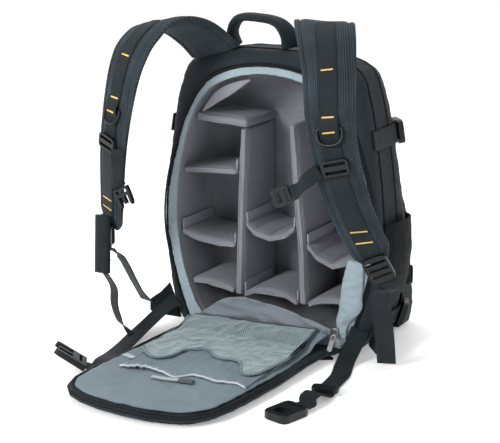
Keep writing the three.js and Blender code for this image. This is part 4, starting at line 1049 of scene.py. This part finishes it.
flap_sheet, flap_rings = sheet_of("flap_lining_cloth", "flap_lining", FLAP_LINING, 3.5 * MM,
                                  0.5 * MM, 1.3 * MM, scale=15, squeeze=(0.7, 1.3, 0.7))
band_sheet, band_rings = sheet_of("flap_band_pocket", "flap_pocket_band", FLAP_LINING, 3 * MM,
                                  0.6 * MM, 1.2 * MM, scale=20, seed=3, squeeze=(1.4, 0.8, 1),
                                  puff=gathers)
mesh_sheet, mesh_rings = sheet_of("flap_net_pocket", "flap_pocket_mesh", SHADED_NET_BACKING, 3 * MM,
                                  0.6 * MM, 1.4 * MM, scale=20, seed=7, squeeze=(1.2, 0.9, 1))
gusset, gusset_rings = sheet_of("gusset_right_cloth", "gusset_right", PALE, 2.5 * MM, 1.0 * MM,
                                3.0 * MM, way=(0, -1, 0), scale=24, squeeze=(0.9, 1, 1.7))
lip, _ = sheet_of("lip_fold_cloth", "lip_fold", FOLD_LINING, 2.5 * MM, 1.5 * MM, 5.0 * MM,
                  way=(0, -1, 0), scale=15, squeeze=(0.7, 1, 1.8))
side_pockets = {}
for side, sign in (("right", 1), ("left", -1)):
    pocket, pocket_rings = sheet_of(f"side_pocket_{side}_net", f"side_pocket_{side}", SIDE_NET,
                                    3.2 * MM, 0.3 * MM, 0.8 * MM, way=(sign, 0, 0), scale=24)
    side_pockets[side] = pocket
print("sheets", flap_rings.shape, mesh_rings.shape, band_rings.shape, gusset_rings.shape)

# %% [markdown]
# ## Piping, hems and cords of binding
# Piping and hems are round tubes along a line on the cloth. A second Geometry Nodes tree turns a
# chain of points into a curve, sweeps a circle along it and closes its ends.

# %% The tree for tubes
TUBE_SIDES = 8


def tube_tree():
    tree, add, join, given, done = new_tree(
        "tube_on_line", {"Line": "Geometry", "Radius": "Float", "Finish": "Material"})
    curve, circle = add("GeometryNodeMeshToCurve"), add("GeometryNodeCurvePrimitiveCircle")
    circle.inputs["Resolution"].default_value = TUBE_SIDES
    join(given.outputs["Line"], curve.inputs["Mesh"])
    join(given.outputs["Radius"], circle.inputs["Radius"])
    sweep = add("GeometryNodeCurveToMesh")
    sweep.inputs["Fill Caps"].default_value = True
    join(curve.outputs["Curve"], sweep.inputs["Curve"])
    join(circle.outputs["Curve"], sweep.inputs["Profile Curve"])
    real, paint = add("GeometryNodeRealizeInstances"), add("GeometryNodeSetMaterial")
    join(sweep.outputs["Mesh"], real.inputs["Geometry"])
    join(real.outputs["Geometry"], paint.inputs["Geometry"])
    join(given.outputs["Finish"], paint.inputs["Material"])
    join(paint.outputs["Geometry"], done.inputs["Made"])
    return tree


TUBE_TREE = tube_tree()


def tubes(name, lines, radius, finish, closed=False):
    """One piece of tubing for a list of lines."""
    verts, edges = [], []
    for line in lines:
        first = len(verts)
        verts += [tuple(p) for p in line]
        edges += [(first + k, first + k + 1) for k in range(len(line) - 1)]
        if closed:
            edges.append((len(verts) - 1, first))
    mesh = bpy.data.meshes.new(name + "_line")
    mesh.from_pydata(verts, edges, [])
    carrier = make_object(name + "_line", mesh)
    modifier = carrier.modifiers.new("tube", "NODES")
    modifier.node_group = TUBE_TREE
    set_input(modifier, "Radius", radius)
    set_input(modifier, "Finish", finish)
    made = make_object(name, shape_now(carrier))
    bpy.data.objects.remove(carrier)
    solid = bmesh.new()
    solid.from_mesh(made.data)
    bmesh.ops.remove_doubles(solid, verts=solid.verts, dist=1e-6)
    bmesh.ops.recalc_face_normals(solid, faces=solid.faces)
    solid.to_mesh(made.data)
    solid.free()
    for polygon in made.data.polygons:
        polygon.use_smooth = True
    return on_bag(made)


tubes("pad_edge_piping", pad_piping, 1.1 * MM, INSIDE)

# %% Lines on the shell, found by looking at it from outside
shell_tree = tree_of(shell)


def look(tree, origin, way):
    spot, normal, index, distance = tree.ray_cast(Vector(origin), Vector(way).normalized())
    return (np.array(spot), np.array(normal)) if spot is not None else None


RAY_START = 0.35
RAY_COUNT = 160


def belt_line(y, start=-28, end=208):
    """A line round the shell's sides and top at a depth: hits of rays towards its middle."""
    hub_z = 0.5 * shell_high.z
    made = []
    for angle in np.radians(np.linspace(start, end, RAY_COUNT)):
        target = np.array([0, y, hub_z])
        origin = target + np.array([math.cos(angle), 0, math.sin(angle)]) * RAY_START
        hit = look(shell_tree, origin, target - origin)
        if hit is not None:
            made.append(hit)
    return made


def seam_hits(hits, kind, pitch=STITCH_PITCH):
    spots = np.array([h[0] for h in hits])
    normals = np.array([h[1] for h in hits])
    s = run_of(spots)
    places = np.arange(pitch / 2, s[-1], pitch)
    spots = np.stack([np.interp(places, s, spots[:, k]) for k in range(3)], 1)
    normals = np.stack([np.interp(places, s, normals[:, k]) for k in range(3)], 1)
    add_row(kind, spots, np.gradient(spots, axis=0), normals)


front_y = shell_low.y
FRONT_SEAM, PANEL_SEAM = 22 * MM, 62 * MM
front_seam = belt_line(front_y + FRONT_SEAM)
tubes("shell_front_piping", [[h[0] for h in front_seam]], 1.7 * MM, BINDING)
for shift in (-3.4, 3.4):
    seam_hits(belt_line(front_y + FRONT_SEAM + shift * MM), "dark_stitch")
middle_seam = belt_line(front_y + PANEL_SEAM, -20, 200)
tubes("shell_panel_piping", [[h[0] for h in middle_seam]], 1.3 * MM, BINDING)
seam_hits(belt_line(front_y + PANEL_SEAM + 3.5 * MM, -20, 200), "dark_stitch")
print("shell seams", len(front_seam), len(middle_seam))

# %% [markdown]
# ## The rim of the opening, with its zip
# The pale rim is a flat binding on the front of the shell. A zip runs round its outer edge: tape,
# and one row of teeth. The matching row runs round the flap, so when the bag is closed they meet.

# %% Rim and zip
rim = skin_of("rim_binding", "rim", 1.1 * MM, PALE, 2)
folds(rim.data, 0.5 * MM, 0.9 * MM, 26, (1, 1, 1.5), lambda p, n: n[1] < -0.3)
on_bag(rim, "rim")
rim_mesh = points_of(frame["nodes"]["rim"].data)
rim_low, rim_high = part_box("rim")
rim_mid = np.array([(rim_low.x + rim_high.x) / 2, (rim_low.z + rim_high.z) / 2])
front = rim_mesh[rim_mesh[:, 1] < rim_low.y + 0.3 * MM]
corners = hull(front[:, [0, 2]])
corners = np.concatenate([a + (b - a) * np.linspace(0, 1, 40, endpoint=False)[:, None]
                          for a, b in zip(corners, np.roll(corners, -1, axis=0))]) - rim_mid
angle = np.arctan2(corners[:, 1], corners[:, 0])
order = np.argsort(angle)
outer = np.stack([angle, np.linalg.norm(corners, axis=1)], 1)[order]
ZIP_OUT = 4.5 * MM
TURNS = np.linspace(-math.pi, math.pi, 420, endpoint=False)


def rim_edge(offset, y):
    reach = np.interp(TURNS, outer[:, 0], outer[:, 1], period=2 * math.pi)
    for _ in range(6):
        reach = (np.roll(reach, 1) + reach + np.roll(reach, -1)) / 3
    reach = reach + offset
    return np.stack([rim_mid[0] + reach * np.cos(TURNS), np.full(len(TURNS), y),
                     rim_mid[1] + reach * np.sin(TURNS)], 1)


def spaced(line, pitch):
    s = run_of(line)
    places = np.arange(0, s[-1], pitch)
    return np.stack([np.interp(places, s, line[:, k]) for k in range(3)], 1)


teeth = spaced(rim_edge(ZIP_OUT * 0.55, front_y - 0.9 * MM), 2.4 * MM)
ways = np.gradient(teeth, axis=0)
add_row("zip_tooth", teeth, np.cross(ways, [0, 1, 0]), np.tile([0, -1, 0], (len(teeth), 1)))
tubes("rim_zip_tape", [rim_edge(ZIP_OUT, front_y - 0.2 * MM)], 1.3 * MM, BINDING, closed=True)
CORNER_FROM, CORNER_TO, CORNER_WIDE = math.radians(99), math.radians(131), 15 * MM
upper_left = (TURNS > CORNER_FROM) & (TURNS < CORNER_TO)
facing = rim_edge(-17 * MM, front_y + 7 * MM)[upper_left]
centre = np.array([rim_mid[0], facing[0][1], rim_mid[1]])
inward = (centre - facing) / np.linalg.norm(centre - facing, axis=1, keepdims=True)
swell = np.sin(np.linspace(0.12, math.pi - 0.12, len(facing)))[:, None]
deep = np.array([0, 1 * MM, 0])
free_edge = facing + inward * swell * CORNER_WIDE
corner_rings = np.stack([facing - deep, facing + deep, free_edge + deep, free_edge - deep], 1)[::4]
corner_grid = dense(corner_rings, 2.5 * MM)[0]
corner = loft("lining_corner_fold", corner_grid, np.zeros((*corner_grid.shape[:2], 2)), BACK_LINING)
on_bag(corner)
print("zip teeth on the shell", len(teeth))

# %% The flap's border: a welt, a zip tape and its teeth
flap = pads["flap_panel"]
flap_points = points_of(flap.data)
flap_outline = hull(flap_points[:, :2])
flap_tree = tree_of(flap)


def flap_line(inset, lift, hinge_gap=14 * MM):
    """A line on the flap at one distance from its edge, open along the hinge."""
    middle = flap_outline.mean(axis=0)
    made = []
    for turn in np.radians(np.linspace(-258, 78, 520)):
        way = np.array([math.cos(turn), math.sin(turn)])
        reach = np.linspace(0.0, 0.26, 700)
        inside = depth_in(flap_outline, middle + way * reach[:, None])
        p = middle + way * reach[np.argmin(np.abs(inside - inset))]
        if p[1] > flap_points[:, 1].max() - hinge_gap:
            continue
        hit = look(flap_tree, (p[0], p[1], 0.1), (0, 0, -1))
        if hit is not None:
            made.append(hit[0] + np.array([0, 0, lift]))
    return np.array(made)


flap_zip = spaced(flap_line(4.2 * MM, 0.8 * MM), 2.4 * MM)
ways = np.gradient(flap_zip, axis=0)
add_row("zip_tooth", flap_zip, np.cross(ways, [0, 0, 1]), np.tile([0, 0, 1], (len(flap_zip), 1)))
edge_line = flap_line(1.2 * MM, -1.0 * MM)
tubes("flap_edge_welt", [edge_line], 1.6 * MM, BINDING)
print("zip teeth on the flap", len(flap_zip))

# %% [markdown]
# ## Hems and seams of the flap's pockets
# A gathered white elastic closes the band pocket, and a bound edge closes the net pocket. Both
# follow the far ends of their sheet's rings.

# %% Hems
def hem_of(piece, rings, inset=0.0, gather=0.0, count=150):
    """The free edge of a pocket: the far end of every ring, drawn through smoothly."""
    ends = np.array([ring[np.argmin(ring[:, 1])] for ring in rings])
    ends = ends[np.argsort(ends[:, 0])]
    s = run_of(ends)
    line = cubic(ends, s, np.linspace(0, s[-1], count))
    tree, made = tree_of(piece), []
    for k, p in enumerate(line):
        hit = look(tree, (p[0], p[1] + 1.6 * MM + inset, 0.1), (0, 0, -1))
        if hit is not None:
            rise = gather * (0.5 + 0.5 * math.sin(k * 1.9))
            made.append([p[0], p[1] + 0.6 * MM + inset, hit[0][2] - 0.4 * MM + rise])
    return np.array(made)


band_hem = hem_of(band_sheet, band_rings, gather=0.9 * MM)
net_hem = hem_of(mesh_sheet, mesh_rings)
band_elastic = tubes("band_pocket_elastic", [band_hem], 1.3 * MM, ELASTIC)
net_binding = tubes("net_pocket_binding", [net_hem], 1.9 * MM, FLAP_LINING)
for piece, rings in ((band_sheet, band_rings), (mesh_sheet, mesh_rings)):
    line = spaced(hem_of(piece, rings, inset=5 * MM) + [0, 0, 0.6 * MM], STITCH_PITCH)
    add_row("pale_stitch", line, np.gradient(line, axis=0), np.tile([0, 0, 1], (len(line), 1)))
print("hem points", len(band_hem), len(net_hem))

# %% [markdown]
# ## Net
# The net has real threads. A lattice of diamonds is dropped on the cloth, point by point, and the
# Wireframe modifier turns its edges into threads, so light falls between them.


# %% Threads of a net, dropped on a sheet
STEEPEST = 0.35
THREAD_LIFT = 0.35 * MM


def net_threads(name, sheet, axis, sign, pitch, thread, finish):
    a, b = [k for k in range(3) if k != axis]
    points, tree = points_of(sheet.data), tree_of(sheet)
    low, high = points.min(axis=0), points.max(axis=0)
    step = np.array([pitch / 2, pitch * 0.6])
    spots = {}
    for i in range(int((high[a] - low[a]) / step[0])):
        for j in range(int((high[b] - low[b]) / step[1])):
            if (i + j) % 2:
                continue
            origin, way = np.zeros(3), np.zeros(3)
            origin[a], origin[b] = low[a] + i * step[0], low[b] + j * step[1]
            origin[axis], way[axis] = (high[axis] + 0.03 if sign > 0 else low[axis] - 0.03), -sign
            hit = look(tree, origin, way)
            if hit is not None and abs(hit[1][axis]) > STEEPEST:
                spots[i, j] = hit[0] - way * THREAD_LIFT
    lattice = bmesh.new()
    knots = {k: lattice.verts.new(p) for k, p in spots.items()}
    for i, j in list(spots):
        corners = [(i, j), (i + 1, j + 1), (i, j + 2), (i - 1, j + 1)]
        if all(c in knots for c in corners):
            lattice.faces.new([knots[c] for c in corners])
    bmesh.ops.delete(lattice, geom=[v for v in lattice.verts if not v.link_faces], context="VERTS")
    mesh = bpy.data.meshes.new(name)
    lattice.to_mesh(mesh)
    lattice.free()
    threads_piece = make_object(name, mesh)
    wires = threads_piece.modifiers.new("threads", "WIREFRAME")
    wires.thickness, wires.use_even_offset, wires.use_boundary = thread, False, True
    apply_all(threads_piece)
    threads_piece.data.materials.clear()
    threads_piece.data.materials.append(finish)
    on_bag(threads_piece)
    print(name, len(threads_piece.data.polygons), "faces")
    return threads_piece


pocket_threads = net_threads("flap_net_threads", mesh_sheet, 2, 1, 3.4 * MM, 0.95 * MM, NET_THREAD)


# %% Tab, tag and sewn strips laid on the flap
def laid_patch(name, trees, middle, turn, long, wide, thick, finish, lift=0.3 * MM):
    """A flat strip that lies on what is below it."""
    way = np.array([math.cos(turn), math.sin(turn)])
    side = np.array([-way[1], way[0]])
    rings = []
    for along in np.linspace(-long / 2, long / 2, 16):
        ring = []
        for across, up in ((-1, 0), (1, 0), (1, 1), (-1, 1)):
            p = np.array(middle) + way * along + side * across * wide / 2
            falls = [look(t, (p[0], p[1], 0.2), (0, 0, -1)) for t in trees]
            ground = max([f[0][2] for f in falls if f is not None], default=0.02)
            ring.append([p[0], p[1], ground + lift + up * thick])
        rings.append(ring)
    grid, places = dense(np.array(rings), 2 * MM)
    made = loft(name, grid, [[(k * 2 * MM, q) for k in range(grid.shape[1])] for q in places], finish)
    return on_bag(made)


# %% Sheets, printed with the sizes that they were cut to
def cut_area(piece):
    return sum(face.area for face in piece.data.polygons) / 2


def cut_sheet(piece, width, length, area):
    """The area is the smooth sheet's own, in square metres, without the folds made here."""
    print(f"{piece.name}: cut {width} x {length} m, made {cut_area(piece):.4f} from {area} m2")


# Width and length in metres, then the flat area in square metres
cut_sheet(flap_sheet, 0.228, 0.312, 0.0623)
cut_sheet(band_sheet, 0.184, 0.214, 0.0357)
cut_sheet(mesh_sheet, 0.196, 0.178, 0.0261)
cut_sheet(gusset, 0.044, 0.130, 0.0032)
cut_sheet(lip, 0.230, 0.066, 0.0084)
for side, pocket in side_pockets.items():
    cut_sheet(pocket, 0.130, 0.124, 0.0107)

# %% Tab and tag
flap_trees = [tree_of(x) for x in (flap, flap_sheet, band_sheet, mesh_sheet)]
laid_patch("band_pocket_tab", flap_trees, (-0.021, -0.2875), math.radians(12), 36 * MM, 8.5 * MM,
           2.2 * MM, ELASTIC, 1.2 * MM)
laid_patch("band_pocket_tab_end", flap_trees, (0.008, -0.2835), math.radians(12), 17 * MM, 10 * MM,
           2.6 * MM, NET_SHADE, 1.0 * MM)
laid_patch("flap_blank_tag", flap_trees, (-0.107, -0.236), math.radians(-15), 26 * MM, 9 * MM,
           1.0 * MM, ELASTIC)
print("tab and tag laid")

# %% [markdown]
# ## Carrying handle, bundle, roll and wings
# The handle is a padded loop wrapped in webbing. The spare end of the left strap is folded into a
# flat bundle, and the spare end of a side strap is rolled up. The wings are triangles of cloth at
# the lower corners that hold the adjusters.

# %% Handle and bundle
def pillow(height):
    return lambda u, wide: height * math.sqrt(max(0.0, 1 - abs(u) ** 3.2))


for node, name in (("grab_handle", "grab_handle_padded"), ("webbing_bundle", "webbing_bundle_folded")):
    route = ROUTES[node]
    half = float(np.median(route.thick)) / 2
    piece = strap_band(name, route, WEBBING, pillow(half), below(pillow(half)), step=2 * MM,
                       count=17)
    on_bag(piece, node)
    if node == "grab_handle":
        for face in (-1, 1):
            for u in (-5.5 * MM, 5.5 * MM):
                seam_on(route, "dark_stitch", u, face * half * 0.93, 6 * MM, route.length - 6 * MM)
bundle = ROUTES["webbing_bundle"]
for share in (0.22, 0.8):
    tack_on(bundle, bundle.length * share, 20 * MM, 4.7 * MM, "dark_stitch")


# %% Rolled spare end
def roll_rings(node, turns=3.2, thick=1.9 * MM, count=70):
    low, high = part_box(node)
    centre = np.array((low + high) / 2)
    outer_radius = (high.x - low.x) / 2 - thick / 2
    axis = int(np.argmax([abs((high - low)[k] - 25 * MM) < 0.3 * MM for k in range(3)]))
    flat = [k for k in range(3) if k != axis]
    half, skin = (high - low)[axis] / 2, thick / 2
    rings = []
    for turn in np.linspace(0, turns * 2 * math.pi, count):
        r = outer_radius - thick * 1.12 * turn / (2 * math.pi)
        ring = []
        for wide, deep in ((half, -skin), (-half, -skin), (-half, skin), (half, skin)):
            p = centre.copy()
            p[flat[0]] += (r + deep) * math.cos(turn)
            p[flat[1]] += (r + deep) * math.sin(turn)
            p[axis] += wide
            ring.append(p)
        rings.append(ring)
    return np.array(rings)


ROLL_THICK = 1.9 * MM
roll = strap_band("webbing_roll_wound", Route(roll_rings("webbing_roll")), WEBBING,
                  selvage(ROLL_THICK), below(selvage(ROLL_THICK)), step=2.5 * MM)
on_bag(roll, "webbing_roll")

# %% Corner wings and back pad
for side in ("right", "left"):
    wing = skin_of(f"corner_wing_{side}_cloth", f"corner_wing_{side}", 1.3 * MM, OUTER, 3)
    folds(wing.data, 0.4 * MM, 0.3 * MM, 40)
    on_bag(wing, f"corner_wing_{side}")
back_pad = skin_of("back_pad_net", "back_pad", 2.2 * MM, SIDE_NET, 2)
on_bag(back_pad, "back_pad")

# %% [markdown]
# ## Moulded plastic and the zip slider
# Buckles, locks and sliders keep the shapes of their solids, with the edges of a mould: a copy is
# cleaned of its flat triangles and its sharp edges are rounded. D-rings get a rounder wire.

# %% Hard pieces
HARD = ["ladder_lock_right", "ladder_lock_left", "sternum_slider_right", "sternum_slider_left",
        "sternum_buckle_right", "sternum_buckle_left", "waist_buckle_right", "waist_buckle_left",
        "waist_slider", "upper_buckle_right", "upper_buckle_left", "lower_buckle_right",
        "lower_buckle_left", "zip_slider", "zip_pull", "d_ring_right", "d_ring_left"]
BODY_OF = {n: b for b, names in frame["record"]["behaviour"]["bodies"].items() for n in names}
for node in HARD:
    solid = merged(node)
    ring = node.startswith("d_ring")
    metal = node.startswith("zip")
    if not ring:
        bmesh.ops.dissolve_limit(solid, angle_limit=math.radians(3), verts=solid.verts[:],
                                 edges=solid.edges[:])
    mesh = bpy.data.meshes.new(node)
    solid.to_mesh(mesh)
    solid.free()
    piece = make_object(f"{node}_moulded", mesh)
    if ring:
        bend = piece.modifiers.new("round", "SUBSURF")
        bend.levels = bend.render_levels = 2
    else:
        bevel = piece.modifiers.new("mould_edges", "BEVEL")
        bevel.width, bevel.segments = (0.5 if metal else 0.9) * MM, 3
        bevel.limit_method, bevel.angle_limit = "ANGLE", math.radians(28)
        bevel.harden_normals = False
    apply_all(piece)
    for face in piece.data.polygons:
        face.use_smooth = ring or len(face.vertices) == 4 and face.area < (2.0 * MM) ** 2
    piece.data.materials.clear()
    piece.data.materials.append(METAL if metal else PLASTIC)
    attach(piece, BODY_OF[node])
    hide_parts(node)
print("hard pieces", len(HARD))

# %% [markdown]
# ## Threads and teeth, all at once
# Every piece has planned its stitches by now, so the trees make one piece of each kind.

# %% Stitches, tacks and teeth
KINDS = {
    "dark_stitch": (STITCH_TREE, (2.7 * MM, 0.55 * MM, 0.5 * MM), THREAD, "cloth"),
    "grey_stitch": (STITCH_TREE, (2.6 * MM, 0.5 * MM, 0.45 * MM), GREY_THREAD, "insert"),
    "pale_stitch": (STITCH_TREE, (2.6 * MM, 0.5 * MM, 0.45 * MM), PALE_THREAD, "lining"),
    "yellow_tack": (STITCH_TREE, (2.6 * MM, 1.0 * MM, 0.9 * MM), YELLOW_THREAD, "webbing"),
    "zip_tooth": (TOOTH_TREE, (3.0 * MM, 1.3 * MM, 1.2 * MM), PLASTIC, "plastic"),
}
for kind, (tree, size, finish, slot) in KINDS.items():
    rows = make_rows(f"{kind}_rows", kind, tree, size, finish)
    on_bag(rows)

# %% [markdown]
# ## Floor, light and backdrop
# The bag stands on a pale floor under large soft lights, as in a product studio.

# %% Studio
floor_mesh = bpy.data.meshes.new("studio_floor")
FLOOR_REACH, FLOOR_GLOW = 6.0, 0.25
floor_mesh.from_pydata([(x * FLOOR_REACH, y * FLOOR_REACH, 0)
                        for x, y in ((-1, -1), (1, -1), (1, 1), (-1, 1))], [], [(0, 1, 2, 3)])
floor = make_object("studio_floor", floor_mesh)
floor_finish = Finish("studio_paper", 0.9)
floor_finish.put(floor_finish.shader.inputs["Base Color"],
                 floor_finish.blend(floor_finish.cloud(2.0), (*[0.93] * 3, 1), (*[0.96] * 3, 1)))
floor_finish.shader.inputs["Emission Color"].default_value = (1, 1, 1, 1)
floor_finish.shader.inputs["Emission Strength"].default_value = FLOOR_GLOW
floor_mesh.materials.append(floor_finish.material)

world = bpy.data.worlds.new("studio")
bpy.context.scene.world = world
world.use_nodes = True
sky = world.node_tree
reading = sky.nodes.new("ShaderNodeTexCoord")
parts = sky.nodes.new("ShaderNodeSeparateXYZ")
ramp = sky.nodes.new("ShaderNodeMapRange")
sky.links.new(reading.outputs["Generated"], parts.inputs[0])
sky.links.new(parts.outputs["Y"], ramp.inputs["Value"])
for socket, value in (("From Min", -0.5), ("From Max", 0.5), ("To Min", 0.4), ("To Max", 1.12)):
    ramp.inputs[socket].default_value = value
sky.nodes["Background"].inputs["Color"].default_value = (1, 1, 1, 1)
sky.links.new(ramp.outputs["Result"], sky.nodes["Background"].inputs["Strength"])


def soft_light(name, place, size, power):
    data = bpy.data.lights.new(name, "AREA")
    data.shape, data.size, data.energy = "DISK", size, power
    light = bpy.data.objects.new(name, data)
    light.location = place
    light.rotation_mode = "QUATERNION"
    light.rotation_quaternion = (LOOK_AT - Vector(place)).to_track_quat("-Z", "Y")
    bpy.context.scene.collection.objects.link(light)
    return light


LIGHTS = {  # place, diameter in metres, watts
    "key_light": ((-0.7, -2.4, 1.3), 0.8, 56),
    "fill_light": ((1.8, -1.8, 1.2), 1.2, 8),
    "top_light": ((-0.6, 0.2, 2.3), 1.6, 18),
}
for name, (place, size, power) in LIGHTS.items():
    soft_light(name, place, size, power)
bpy.context.scene.view_settings.view_transform = "Standard"
print("studio ready")
